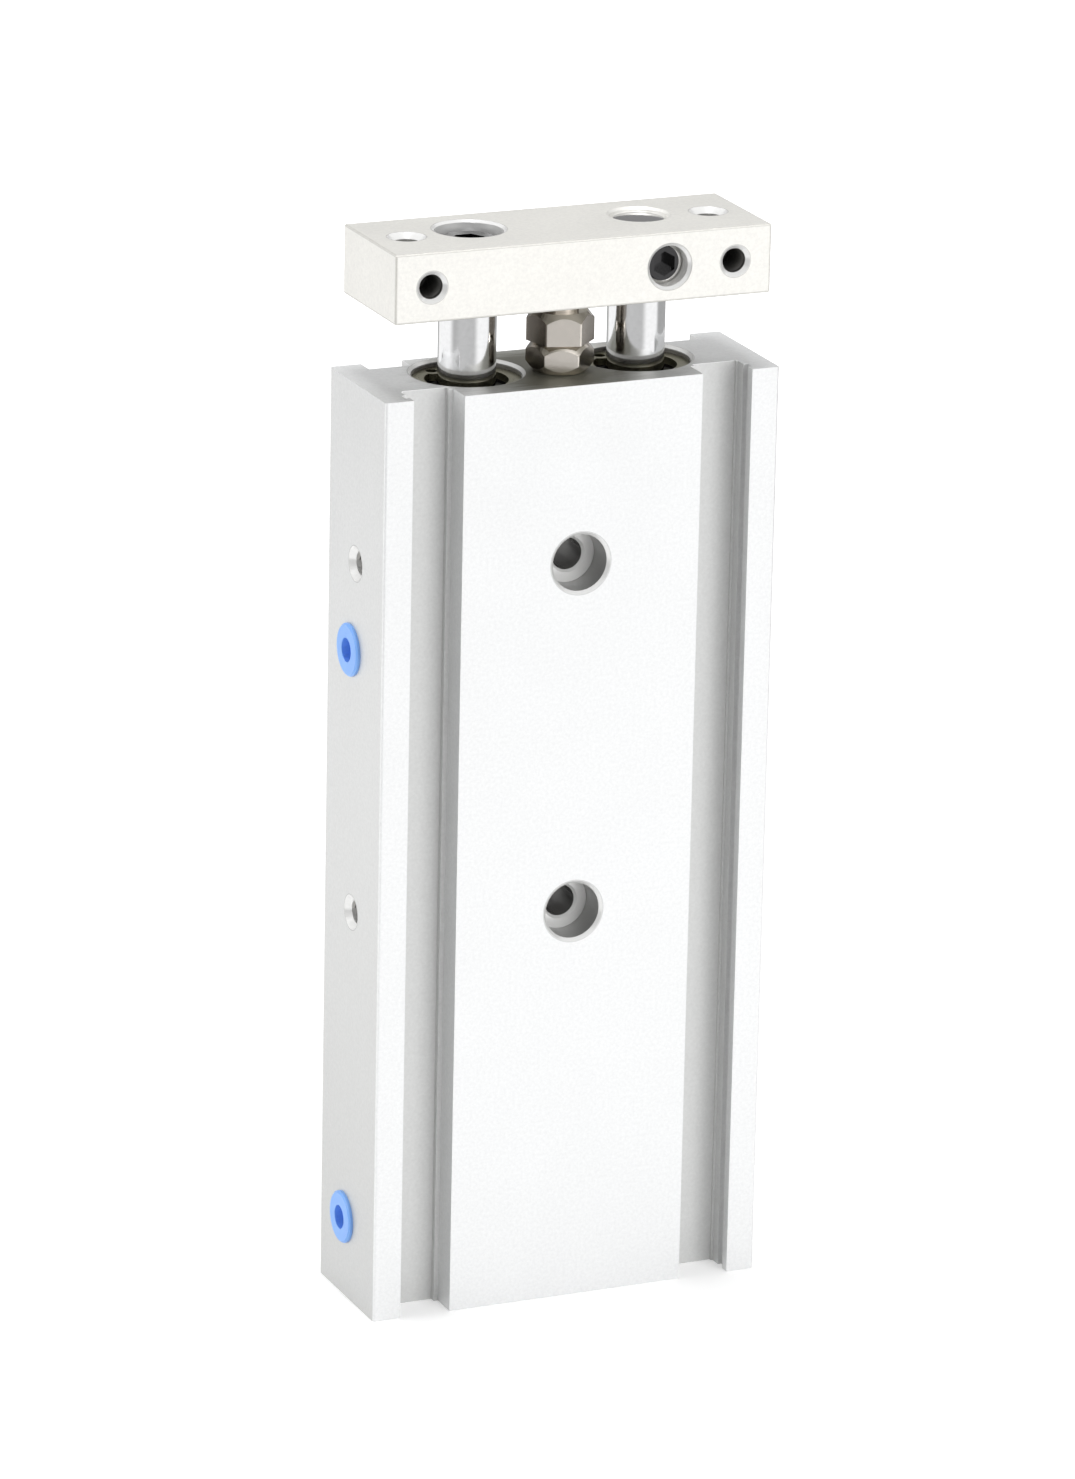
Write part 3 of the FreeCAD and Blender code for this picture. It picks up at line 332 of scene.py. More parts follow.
def between(tree, value, low, high, start=0.0, end=1.0):
    """The value's range from start to end, spread from low to high."""
    node = tree.nodes.new("ShaderNodeMapRange")
    node.inputs["From Min"].default_value = start
    node.inputs["From Max"].default_value = end
    for name, limit in (("To Min", low), ("To Max", high)):
        if isinstance(limit, (int, float)):
            node.inputs[name].default_value = limit
        else:
            tree.links.new(limit, node.inputs[name])
    tree.links.new(value, node.inputs["Value"])
    return node.outputs["Result"]


def rising(tree, value, start, end):
    """From 0 to 1 as the value goes from start to end."""
    return between(tree, value, 0.0, 1.0, start, end)


def falling(tree, value, start, end):
    """From 1 to 0 as the value goes from start to end."""
    return between(tree, value, 1.0, 0.0, start, end)


def arithmetic(tree, operation, first, second=0.0):
    """One math node; either value may be a number or another node's output."""
    node = tree.nodes.new("ShaderNodeMath")
    node.operation = operation
    for socket, value in zip(node.inputs, (first, second)):
        if isinstance(value, (int, float)):
            socket.default_value = value
        else:
            tree.links.new(value, socket)
    return node.outputs[0]


def product(tree, first, second):
    """Where two masks overlap, or a mask at a share of its strength."""
    return arithmetic(tree, "MULTIPLY", first, second)


def any_of(tree, masks):
    """Where at least one of the masks is."""
    total = masks[0]
    for mask in masks[1:]:
        total = arithmetic(tree, "MAXIMUM", total, mask)
    return total


def vector_step(tree, operation, first, second=None):
    """The outputs of one vector math node, whose second value is fixed where it has one."""
    node = tree.nodes.new("ShaderNodeVectorMath")
    node.operation = operation
    tree.links.new(first, node.inputs[0])
    if second is not None:
        node.inputs[1].default_value = second
    return node.outputs


def axes_of(tree, place):
    """The coordinates along X, Y and Z, each by itself."""
    parts = tree.nodes.new("ShaderNodeSeparateXYZ")
    tree.links.new(place, parts.inputs[0])
    return parts.outputs


def shaded(colour, share):
    """The colour at a share of its brightness."""
    return [share * part for part in colour]


def blended(tree, share, first, second):
    """From the first colour to the second as the share goes from 0 to 1."""
    node = tree.nodes.new("ShaderNodeMix")
    node.data_type = "RGBA"
    for socket, value in ((node.inputs[MIX_FIRST], first), (node.inputs[MIX_SECOND], second)):
        if isinstance(value, bpy.types.NodeSocket):
            tree.links.new(value, socket)
        else:
            socket.default_value = (*value, 1.0)
    tree.links.new(share, node.inputs[0])
    return node.outputs[MIX_RESULT]


def tinted(tree, colour, pattern, darkest):
    """The colour, darker where the pattern is low."""
    return blended(tree, pattern, shaded(colour, darkest), colour)


def uneven(tree, pattern, roughness, shine):
    """The roughness, wandering with a pattern between two shares of itself."""
    smoothest, roughest = shine
    return between(tree, pattern, roughness * smoothest, roughness * roughest)


def bump(tree, height, distance, strength, normal=None):
    """The normal of a surface with a fine relief, on top of another relief where one is given."""
    node = tree.nodes.new("ShaderNodeBump")
    node.inputs["Distance"].default_value = distance
    node.inputs["Strength"].default_value = strength
    tree.links.new(height, node.inputs["Height"])
    if normal is not None:
        tree.links.new(normal, node.inputs["Normal"])
    return node.outputs["Normal"]


def near_line(tree, place, point, along, radius):
    """1 within a radius of a line along X, Y or Z through a point, all in millimetres."""
    moved = vector_step(tree, "SUBTRACT", place, point)
    crossways = [0.0 if axis == along else 1.0 for axis in "XYZ"]
    across = vector_step(tree, "MULTIPLY", moved["Vector"], crossways)
    length = vector_step(tree, "LENGTH", across["Vector"])
    return falling(tree, length["Value"], radius - MASK_EDGE, radius + MASK_EDGE)


def at_upper_face(tree, position, face, skin, level=1.0):
    """The level on the face where an axis ends, and 0 from twice the skin below it."""
    return between(tree, position, 0.0, level, face - 2 * skin, face - skin)


def at_lower_face(tree, position, face, skin, level=1.0):
    """The level on the face where an axis starts, and 0 from twice the skin above it."""
    return between(tree, position, level, 0.0, face + skin, face + 2 * skin)


# Places of the holes and the wear

def mount(name):
    """One mount of the record."""
    for entry in RECORD["mounts"]:
        if entry["name"] == name:
            return entry
    raise RuntimeError(f"the record has no mount {name}")


def in_millimetres(point):
    """A point of the frame, in millimetres."""
    return [part / MM for part in point]


def hole_places(entry):
    """Where each hole of a row of holes starts, from the record."""
    middle = Vector(entry["pos_m"])
    sizes = entry["dims"]
    across = [i for i in range(3) if abs(entry["axis"][i]) < 0.5]
    if "spacing_x_mm" in sizes:
        step, axis = sizes["spacing_x_mm"], across[0]
    else:
        step, axis = sizes["spacing_y_mm"], across[1]
    offset = Vector((0.0, 0.0, 0.0))
    offset[axis] = step * MM / 2
    return [middle - offset, middle + offset]


def drilled(name, axis, radii):
    """The holes of one record mount, as the satin finish takes them."""
    return [Hole(in_millimetres(place), axis, *radii) for place in hole_places(mount(name))]


def middle_of(name):
    """The middle of a node at rest, in millimetres."""
    low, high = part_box(name)
    return [(first + last) / 2 / MM for first, last in zip(low, high)]


def hole_masks(tree, place, holes, plain):
    """The bare rims of the holes, the painted shade of their middles, and a thin painted dark line
    round each rim.
    """
    rims = any_of(tree, [near_line(tree, place, hole.point, hole.axis, hole.rim)
                         for hole in holes])
    deep = any_of(tree, [near_line(tree, place, hole.point, hole.axis, hole.dark)
                         for hole in holes])
    around = any_of(tree, [near_line(tree, place, hole.point, hole.axis, hole.rim + OUTLINE_WIDTH)
                           for hole in holes])
    if plain is not None:
        pierced = falling(tree, plain(tree, place), 0.0, 1.0)
        rims, deep, around = [product(tree, mask, pierced) for mask in (rims, deep, around)]
    line = product(tree, arithmetic(tree, "SUBTRACT", around, rims), OUTLINE_SHARE)
    return rims, deep, line


def counterbore_walls(tree, place):
    """The walls of the front counterbores, between the floor and the chamfer, where shade is painted.
    """
    holes = drilled("front_through_holes", "Y", COUNTERBORE_WALL)
    outer = any_of(tree, [near_line(tree, place, hole.point, hole.axis, hole.rim)
                          for hole in holes])
    inner = any_of(tree, [near_line(tree, place, hole.point, hole.axis, hole.dark)
                          for hole in holes])
    ring = arithmetic(tree, "SUBTRACT", outer, inner)
    depth = arithmetic(tree, "ABSOLUTE", axes_of(tree, place)["Y"])
    return product(tree, ring, falling(tree, depth, *CHAMFER_FOOT))


def groove_painted_shade(tree, x, y, z, top):
    """Painted shade on the two front grooves, darker deeper in."""
    side = arithmetic(tree, "ABSOLUTE", x)
    across = product(tree, rising(tree, side, *GROOVE_INNER_WALL),
                     falling(tree, side, *GROOVE_OUTER_WALL))
    below_top = falling(tree, z, top - 2 * GROOVE_END_SKIN, top - GROOVE_END_SKIN)
    depth = between(tree, y, 0.0, GROOVE_SHADE, *GROOVE_DEPTH)
    return product(tree, product(tree, across, below_top), depth)


def painted_shadow_round_stopper(tree, place, z, top):
    """Painted shadow on the end face round the stopper, where the plate shades it, with a streaky
    edge.
    """
    away = vector_step(tree, "DISTANCE", place, (*SHADOW_MIDDLE, top))
    streaks = noise(tree, stretched(tree, place, SHADOW_STREAKS), 1.0, detail=3.0)
    ragged = between(tree, streaks, -SHADOW_RAGGED, SHADOW_RAGGED)
    shadowed = falling(tree, arithmetic(tree, "ADD", away["Value"], ragged), *SHADOW_REACH)
    return product(tree, shadowed, at_upper_face(tree, z, top, FACE_SKIN))


def left_side_painted_shade(tree, x, z, left):
    """Painted shade on the left side, darker towards its lower end."""
    near, far = LEFT_SHADE_SKIN
    side = falling(tree, x, left + near, left + far)
    return product(tree, side, between(tree, z, *LEFT_SHADE_LEVELS, *LEFT_SHADE_HEIGHTS))


def housing_painted_shade(tree, place):
    """The painted shade in the grooves, the painted shadow on the end face round the stopper, and the
    painted shade on the left side of the housing.
    """
    low, high = [in_millimetres(corner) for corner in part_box("housing")]
    x, y, z = axes_of(tree, place)
    left, top = low[0], high[2]
    shaded_parts = any_of(tree, [groove_painted_shade(tree, x, y, z, top), painted_shadow_round_stopper(tree, place, z, top)])
    return any_of(tree, [shaded_parts, left_side_painted_shade(tree, x, z, left)])


def plate_plain_faces(tree, place):
    """The plate's back and underside, which its tapped holes don't reach."""
    low, high = [in_millimetres(corner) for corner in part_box("end_plate")]
    _, y, z = axes_of(tree, place)
    back = at_upper_face(tree, y, high[1], PLAIN_SKIN)
    under = at_lower_face(tree, z, low[2], PLAIN_SKIN)
    return any_of(tree, [back, under])


def plate_painted_shade(tree, place):
    """Painted shade on the plate: grey edges, a dark underside and a slightly darker top."""
    low, high = [in_millimetres(corner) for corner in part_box("end_plate")]
    axes = axes_of(tree, place)
    far, near = EDGE_SHADE_REACH
    close = []
    for position, first, last in zip(axes, low, high):
        out = arithmetic(tree, "ABSOLUTE", arithmetic(tree, "SUBTRACT", position, (first + last) / 2))
        half = (last - first) / 2
        close.append(rising(tree, out, half - far, half - near))
    pairs = [product(tree, close[first], close[last]) for first, last in ((0, 1), (0, 2), (1, 2))]
    edges = product(tree, any_of(tree, pairs), EDGE_SHADE)
    under = at_lower_face(tree, axes["Z"], low[2], FACE_SKIN, UNDERSIDE_SHADE)
    over = at_upper_face(tree, axes["Z"], high[2], FACE_SKIN, TOP_SHADE)
    return any_of(tree, [edges, under, over])


# Finishes

def anodised(name, settings, colour, lines, holes, painted_shade, walls=None, plain=None):
    """Satin anodised aluminium: blasted grain, drawn lines, and bare metal in its holes.

    Three functions give it masks: one paints shade onto the satin, walls marks the rougher walls of
    counterbores, which are painted darker as shade, and plain marks the faces that the holes don't
    reach.
    """
    material, tree, shader, place = fresh_material(name)
    grain = noise(tree, place, settings.grain, detail=3.0, roughness=0.65)
    drawn = noise(tree, stretched(tree, place, lines), 1.0, detail=2.0)
    cloud = noise(tree, place, SATIN_CLOUDS, detail=3.0)
    rims, deep, line = hole_masks(tree, place, holes, plain)
    satin = tinted(tree, colour, cloud, SATIN_DARKEST)
    specks = product(tree, rising(tree, grain, *SPECK_RANGE), SPECK_SHARE)
    satin = blended(tree, specks, satin, SPECK_COLOUR)
    # Painted shade: the satin darkens where the shade masks lie
    painted_shade_colour = [share * part for share, part in zip(PAINTED_SHADE_TINT, colour)]
    satin = blended(tree, painted_shade(tree, place), satin, painted_shade_colour)
    satin = blended(tree, rims, satin, settings.machined)
    rough = between(tree, cloud, settings.roughness - SMOOTHER, settings.roughness + ROUGHER)
    rough = between(tree, rims, rough, RIM_ROUGHNESS)
    if walls is not None:
        # The counterbore walls are rougher, and painted darker as shade
        turned = walls(tree, place)
        satin = blended(tree, turned, satin, shaded(settings.machined, WALL_SHADE))
        rough = between(tree, turned, rough, WALL_ROUGHNESS)
    # Painted shade deep in the holes, and a thin painted dark line round each rim
    satin = blended(tree, deep, satin, settings.thread)
    satin = blended(tree, line, satin, settings.thread)
    tree.links.new(satin, shader.inputs["Base Color"])
    tree.links.new(rough, shader.inputs["Roughness"])
    tree.links.new(between(tree, rims, settings.metal, RIM_METAL), shader.inputs["Metallic"])
    fine = bump(tree, grain, *GRAIN_RELIEF)
    both = bump(tree, drawn, *DRAWN_RELIEF, fine)
    smooth = between(tree, rims, 1.0, RIM_BUMP)
    for relief in (fine, both):
        strength = relief.node.inputs["Strength"]
        tree.links.new(product(tree, smooth, strength.default_value), strength)
    tree.links.new(both, shader.inputs["Normal"])
    return material


def turned_metal(name, colour, roughness, ring_scale, end=None, mottle=TURNED_MOTTLE):
    """Turned or ground metal with fine lines round the upright axis.

    Where end is given, it is the height in millimetres above which the cut end is grey.
    The mottle is its patches in each millimetre, and the darkest of them.
    """
    material, tree, shader, place = fresh_material(name)
    rings = stretched(tree, place, (RING_STRETCH, RING_STRETCH, ring_scale))
    lines = noise(tree, rings, 1.0, detail=2.0)
    patches, darkest = mottle
    skin = tinted(tree, colour, noise(tree, place, patches, detail=2.0), darkest)
    if end is not None:
        cut = rising(tree, axes_of(tree, place)["Z"], end - MASK_EDGE, end)
        skin = blended(tree, cut, skin, shaded(colour, CUT_END_SHADE))
    tree.links.new(skin, shader.inputs["Base Color"])
    tree.links.new(uneven(tree, lines, roughness, TURNED_SHINE), shader.inputs["Roughness"])
    shader.inputs["Metallic"].default_value = 1.0
    tree.links.new(bump(tree, lines, *RING_RELIEF), shader.inputs["Normal"])
    return material


def plated(name, colour, roughness, wear, side_shade=None, bare=None):
    """Plated or blackened steel with small pits and a slightly uneven shine.

    A side shade colour, where given, is painted as shade on the faces that look along X, to the rods.
    Where bare is given, it is a point, an axis and a radius outside which a painted highlight covers
    the plating, and the colour of that highlight.
    """
    material, tree, shader, place = fresh_material(name)
    pits = noise(tree, place, PLATING_PITS, detail=4.0, roughness=0.6)
    cloud = noise(tree, place, PLATING_CLOUDS, detail=2.0)
    plating = tinted(tree, colour, cloud, 1.0 - wear)
    if side_shade is not None:
        # Painted shade on the faces that look along X, to the rods
        shape = tree.nodes.new("ShaderNodeNewGeometry")
        side = arithmetic(tree, "ABSOLUTE", axes_of(tree, shape.outputs["True Normal"])["X"])
        plating = blended(tree, rising(tree, side, *FACES_THE_RODS), plating, side_shade)
    if bare is not None:
        # A painted highlight outside the radius
        point, axis, radius, metal = bare
        plating = blended(tree, near_line(tree, place, point, axis, radius), metal, plating)
    tree.links.new(plating, shader.inputs["Base Color"])
    tree.links.new(uneven(tree, pits, roughness, PLATED_SHINE), shader.inputs["Roughness"])
    shader.inputs["Metallic"].default_value = 1.0
    tree.links.new(bump(tree, pits, *PIT_RELIEF), shader.inputs["Normal"])
    return material


def moulded(name, colour, roughness, softness=0.0):
    """Moulded plastic or rubber with a fine texture."""
    material, tree, shader, place = fresh_material(name)
    skin = noise(tree, place, MOULDED_GRAIN, detail=3.0)
    cloud = noise(tree, place, MOULDED_CLOUDS, detail=2.0)
    tree.links.new(tinted(tree, colour, cloud, MOULDED_DARKEST), shader.inputs["Base Color"])
    tree.links.new(uneven(tree, skin, roughness, MOULDED_SHINE), shader.inputs["Roughness"])
    if softness:
        shader.inputs["Subsurface Weight"].default_value = softness
        shader.inputs["Subsurface Radius"].default_value = SKIN_SCATTER
        shader.inputs["Subsurface Scale"].default_value = 1.0
    tree.links.new(bump(tree, skin, *MOULDED_RELIEF), shader.inputs["Normal"])
    return material


def oiled(material):
    """The thin, shiny film on a blackened screw."""
    shader = material.node_tree.nodes["Principled BSDF"]
    shader.inputs["Coat Weight"].default_value = OIL_COAT
    shader.inputs["Coat Roughness"].default_value = OIL_COAT_ROUGHNESS
    return material


def give(material, *names):
    """Put one material on CAD nodes whose names start with the given words."""
    found = [node for name, node in NODES.items() if name.startswith(names)]
    if not found:
        raise RuntimeError(f"no node starts with {names}")
    for node in found:
        node.data.materials.clear()
        node.data.materials.append(material)


# Pieces of the CAD model

class CYLINDER_OT_housing(bpy.types.Operator):
    """Give the housing and the end plate their satin anodised finish"""
    bl_idname = "cylinder.housing"
    bl_label = "Housing and End Plate"

    def execute(self, context):
        finish = context.scene.anodised_finish
        holes = drilled("front_through_holes", "Y", THROUGH_HOLE)
        holes += drilled("left_side_threads", "X", SIDE_THREAD)
        for name in ("left_port_rod_end", "left_port_head_end"):
            holes.append(Hole(in_millimetres(mount(name)["pos_m"]), "X", *PORT))
        for name in ("piston_rod_left", "piston_rod_right"):
            holes.append(Hole(middle_of(name), "Z", *BORE))
        give(anodised("satin_housing", finish, finish.colour, HOUSING_LINES, holes, housing_painted_shade,
                      walls=counterbore_walls), "housing")
        holes = drilled("plate_top_threads", "Z", PLATE_TOP_THREAD)
        holes += drilled("plate_front_threads", "Y", PLATE_FRONT_THREAD)
        holes.append(Hole(middle_of("rod_screw"), "Z", *ROD_SCREW_HOLE))
        holes.append(Hole(middle_of("rod_set_screw"), "Y", *SET_SCREW_HOLE))
        give(anodised("satin_plate", finish, finish.plate, PLATE_LINES, holes, plate_painted_shade,
                      plain=plate_plain_faces), "end_plate")
        return {"FINISHED"}


class CYLINDER_OT_rods(bpy.types.Operator):
    """Give the piston rods their ground chrome"""
    bl_idname = "cylinder.rods"
    bl_label = "Piston Rods"

    def execute(self, context):
        finish = context.scene.rod_finish
        _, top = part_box("piston_rod_right")
        chrome = turned_metal("ground_chrome", finish.colour, finish.roughness, ring_scale=18.0,
                              end=top[2] / MM - FACE_SKIN, mottle=ROD_MOTTLE)
        give(chrome, "piston_rod")
        return {"FINISHED"}


class CYLINDER_OT_inner_parts(bpy.types.Operator):
    """Give the covers, rings, seals and pistons in the bores their finishes"""
    bl_idname = "cylinder.inner_parts"
    bl_label = "Parts in the Bores"

    def execute(self, context):
        # The covers are painted nearly black, as shade in the bore mouths
        give(turned_metal("turned_cover_painted_dark", COVER_ALLOY_PAINTED_DARK, roughness=0.5, ring_scale=3.0),
             "rod_cover_l", "rod_cover_r", "head_cover_l", "head_cover_r")
        give(turned_metal("turned_piston", PISTON_ALLOY, roughness=0.3, ring_scale=3.0),
             "piston_left", "piston_right")
        give(plated("spring_steel", SPRING_STEEL, roughness=0.28, wear=0.25),
             "rod_end_ring", "head_end_ring")
        give(moulded("seal_rubber", SEAL_RUBBER, roughness=0.5),
             "rod_seal", "rod_cover_o_ring", "head_cover_o_ring", "piston_seal")
        give(moulded("urethane", URETHANE, roughness=0.45),
             "rod_end_bumper", "head_end_bumper", "stopper_pad")
        give(plated("magnet", MAGNET, roughness=0.5, wear=0.2), "piston_magnet")
        return {"FINISHED"}


class CYLINDER_OT_fasteners(bpy.types.Operator):
    """Give the stopper, its nut, the screws and the plugs their platings"""
    bl_idname = "cylinder.fasteners"
    bl_label = "Screws, Nut and Plugs"

    def execute(self, context):
        finish = context.scene.fastener_finish
        give(plated("warm_nickel", finish.nickel, roughness=0.17, wear=0.12,
                    side_shade=finish.side_shade), "stopper_bolt", "stopper_lock_nut")
        give(plated("plug_nickel", finish.nickel, roughness=0.28, wear=0.12), "port_plug")
        give(oiled(plated("black_oxide", finish.black, roughness=0.24, wear=0.3)), "rod_screw")
        # A painted highlight ring round the set screw, wider to one side
        middle = Vector(middle_of("rod_set_screw")) + Vector(SET_SCREW_HIGHLIGHT_MIDDLE)
        rim = (middle, "Y", SET_SCREW_BLACK_RADIUS, HIGHLIGHT_STEEL)
        give(oiled(plated("black_oxide_painted_highlight", finish.black, roughness=0.24, wear=0.3, bare=rim)),
             "rod_set_screw")
        return {"FINISHED"}


class CYLINDER_OT_dust_caps(bpy.types.Operator):
    """Give the dust caps in the left ports their soft blue plastic"""
    bl_idname = "cylinder.dust_caps"
    bl_label = "Dust Caps"

    def execute(self, context):
        finish = context.scene.cap_finish
        give(moulded("blue_cap", finish.colour, finish.roughness, softness=0.15), "port_cap")
        return {"FINISHED"}


# Screw threads

def only(thing):
    """Select one object and nothing else."""
    bpy.ops.object.select_all(action="DESELECT")
    thing.select_set(True)
    bpy.context.view_layer.objects.active = thing


def helix_thread(radius, finish):
    """An internal thread about the Z axis: a triangular ridge wound from z = 0 upwards."""
    pitch = finish.thread_pitch
    bpy.ops.object.select_all(action="DESELECT")
    bpy.ops.mesh.primitive_circle_add(vertices=3, radius=pitch * 0.5, fill_type="NOTHING")
    ridge = bpy.context.object
    corners = ridge.data.vertices
    corners[0].co = Vector((radius - finish.thread_height, 0, 0))
    corners[1].co = Vector((radius + SUNK_IN_WALL, 0, -RIDGE_HALF * pitch))
    corners[2].co = Vector((radius + SUNK_IN_WALL, 0, RIDGE_HALF * pitch))
    winding = ridge.modifiers.new("winding", "SCREW")
    winding.axis = "Z"
    winding.angle = math.tau
    winding.screw_offset = pitch
    winding.iterations = finish.thread_turns
    winding.steps = STEPS_IN_A_TURN
    winding.render_steps = STEPS_IN_A_TURN
    winding.use_normal_calculate = True
    only(ridge)
    bpy.ops.object.modifier_apply(modifier="winding")
    bpy.ops.object.mode_set(mode="EDIT")
    bpy.ops.mesh.select_all(action="SELECT")
    bpy.ops.mesh.remove_doubles(threshold=SAME_POINT)
    bpy.ops.mesh.select_all(action="DESELECT")
    bpy.ops.mesh.select_mode(type="EDGE")
    bpy.ops.mesh.select_non_manifold()
    bpy.ops.mesh.fill()
    bpy.ops.mesh.select_all(action="SELECT")
    bpy.ops.mesh.normals_make_consistent(inside=False)
    bpy.ops.object.mode_set(mode="OBJECT")
    bpy.ops.object.shade_smooth_by_angle(angle=math.radians(SMOOTH_ANGLE))
    return ridge


def copied(piece, name):
    """A copy of a finished piece, with a mesh of its own."""
    copy = piece.copy()
    copy.data = piece.data.copy()
    copy.name = name
    bpy.context.collection.objects.link(copy)
    return copy


def lay_along(piece, start, direction):
    """Turn a piece made along +Z to a direction, start it at a point and fix it in its mesh."""
    piece.rotation_mode = "QUATERNION"
    piece.rotation_quaternion = direction.to_track_quat("Z", "Y")
    piece.location = start
    only(piece)
    bpy.ops.object.transform_apply(location=True, rotation=True, scale=True)


class CYLINDER_OT_threads(bpy.types.Operator):
    """Cut the screw threads that show in the tapped holes"""
    bl_idname = "cylinder.threads"
    bl_label = "Tapped Threads"

    def execute(self, context):
        finish = context.scene.fastener_finish
        thread = context.scene.anodised_finish.thread
        # The threads are painted dark as shade, and those in the side holes a lighter copy, as
        # painted light
        metal = plated("tapped_metal_painted_dark", thread, roughness=0.38, wear=0.3)
        painted_lighter = plated("tapped_side_painted_lighter", shaded(thread, SIDE_THREAD_PAINTED_LIGHT), roughness=0.32, wear=0.2)
        rows = (
            ("left_side_threads", "cylinder", "anodised_housing", painted_lighter),
            ("right_side_threads", "cylinder", "anodised_housing", painted_lighter),
            ("plate_top_threads", "rod_assembly", "anodised_plate", metal),
            ("plate_front_threads", "rod_assembly", "anodised_plate", metal),
        )
        patterns = {}
        for name, body, slot, material in rows:
            entry = mount(name)
            radius = entry["dims"]["hole_r_mm"] * MM
            if radius not in patterns:
                patterns[radius] = helix_thread(radius, finish)
            inward = -Vector(entry["axis"])
            for number, start in enumerate(hole_places(entry), start=1):
                piece = copied(patterns[radius], f"{name}_{number}")
                lay_along(piece, start + inward * finish.thread_pitch / 2, inward)
                piece.data.materials.append(material)
                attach(piece, body)
        for pattern in patterns.values():
            bpy.data.meshes.remove(pattern.data)
        return {"FINISHED"}


# Studio

def stage_material(name):
    """A new material with nothing in it but its output."""
    material = bpy.data.materials.new(name)
    material.use_nodes = True
    tree = material.node_tree
    tree.nodes.clear()
    out = tree.nodes.new("ShaderNodeOutputMaterial")
    return material, tree, out.inputs["Surface"]


def seen_rays(tree):
    """1 for rays that the camera, a shiny surface or glass sends out, and 0 for light."""
    path = tree.nodes.new("ShaderNodeLightPath").outputs
    return any_of(tree, [path["Is Camera Ray"], path["Is Glossy Ray"], path["Is Transmission Ray"]])


def pale_floor(settings):
    """A large pale floor that looks lighter the farther it lies from the cylinder."""
    bpy.ops.object.select_all(action="DESELECT")
    bpy.ops.mesh.primitive_plane_add(size=FLOOR_SIZE, location=(0.0, 0.0, -FLOOR_GAP))
    floor = bpy.context.object
    floor.name = "floor"
    material, tree, surface = stage_material("pale_floor")
    matt = tree.nodes.new("ShaderNodeBsdfDiffuse")
    matt.inputs["Color"].default_value = (*settings.floor_colour, 1.0)
    lift = tree.nodes.new("ShaderNodeEmission")
    lift.inputs["Color"].default_value = WHITE
    place = tree.nodes.new("ShaderNodeTexCoord")
    away = vector_step(tree, "LENGTH", place.outputs["Object"])
    level = between(tree, away["Value"], *FLOOR_GLOW, *FLOOR_GLOW_REACH)
    tree.links.new(product(tree, seen_rays(tree), level), lift.inputs["Strength"])
    both = tree.nodes.new("ShaderNodeAddShader")
    tree.links.new(matt.outputs[0], both.inputs[0])
    tree.links.new(lift.outputs[0], both.inputs[1])
    tree.links.new(both.outputs[0], surface)
    floor.data.materials.append(material)


def soft_sky(context, settings):
    """Even light from all round, which shows as plain white."""
    world = bpy.data.worlds.new("soft_sky")
    context.scene.world = world
    world.use_nodes = True
    tree = world.node_tree
    back = tree.nodes["Background"]
    back.inputs["Color"].default_value = WHITE
    strength = between(tree, seen_rays(tree), settings.sky, 1.0)
    tree.links.new(strength, back.inputs["Strength"])


def screen_bands(tree, angle, settings):
    """The soft boxes and flags of the screen, by degrees round the cylinder from the camera."""
    bands = tree.nodes.new("ShaderNodeValToRGB")
    ramp = bands.color_ramp
    ramp.interpolation = "EASE"
    stops = [(-152, settings.back), (-133, 1.0), (-74, 1.0),
             (-50, 0.86 * settings.grey), (-24, settings.grey), (22, 0.96 * settings.grey),
             (47, 1.0), (84, 1.0), (101, settings.back)]
    while len(ramp.elements) < len(stops):
        ramp.elements.new(1.0)
    for stop, (degrees, level) in zip(ramp.elements, stops):
        stop.position = (degrees + 180) / 360
        stop.color = (level, level, level, 1.0)
    tree.links.new(rising(tree, angle, -math.pi, math.pi), bands.inputs[0])
    return bands.outputs["Color"]


def reflection_screen(settings):
    """A round screen of soft boxes and flags that only shiny metal sees."""
    bpy.ops.object.select_all(action="DESELECT")
    bpy.ops.mesh.primitive_cylinder_add(vertices=SCREEN_SIDES, radius=SCREEN_RADIUS,
                                        depth=SCREEN_HEIGHT, end_fill_type="NOTHING",
                                        location=(0.0, 0.0, SCREEN_MIDDLE))
    screen = bpy.context.object
    screen.name = "reflection_screen"
    screen.visible_camera = False
    screen.visible_diffuse = False
    screen.visible_shadow = False
    material, tree, surface = stage_material("reflection_screen")
    material.cycles.emission_sampling = "NONE"
    place = tree.nodes.new("ShaderNodeTexCoord")
    turned = tree.nodes.new("ShaderNodeMapping")
    turned.vector_type = "POINT"
    turned.inputs["Rotation"].default_value = (0.0, 0.0, math.radians(FACING_CAMERA))
    tree.links.new(place.outputs["Object"], turned.inputs["Vector"])
    x, y, z = axes_of(tree, turned.outputs["Vector"])
    glow = tree.nodes.new("ShaderNodeEmission")
    angle = arithmetic(tree, "ARCTAN2", y, x)
    tree.links.new(screen_bands(tree, angle, settings), glow.inputs["Color"])
    dimmer = between(tree, z, *SCREEN_DIMMER, *SCREEN_DIMMER_HEIGHTS)
    tree.links.new(dimmer, glow.inputs["Strength"])
    tree.links.new(glow.outputs[0], surface)
    screen.data.materials.append(material)


def soft_box(name, power, size, place):
    """A square lamp that faces the cylinder."""
    light = bpy.data.lights.new(name, "AREA")
    light.size = size
    light.energy = power
    lamp = bpy.data.objects.new(name, light)
    lamp.location = place
    aim = Vector(LAMP_AIM) - lamp.location
    lamp.rotation_euler = aim.to_track_quat("-Z", "Y").to_euler()
    bpy.context.scene.collection.objects.link(lamp)


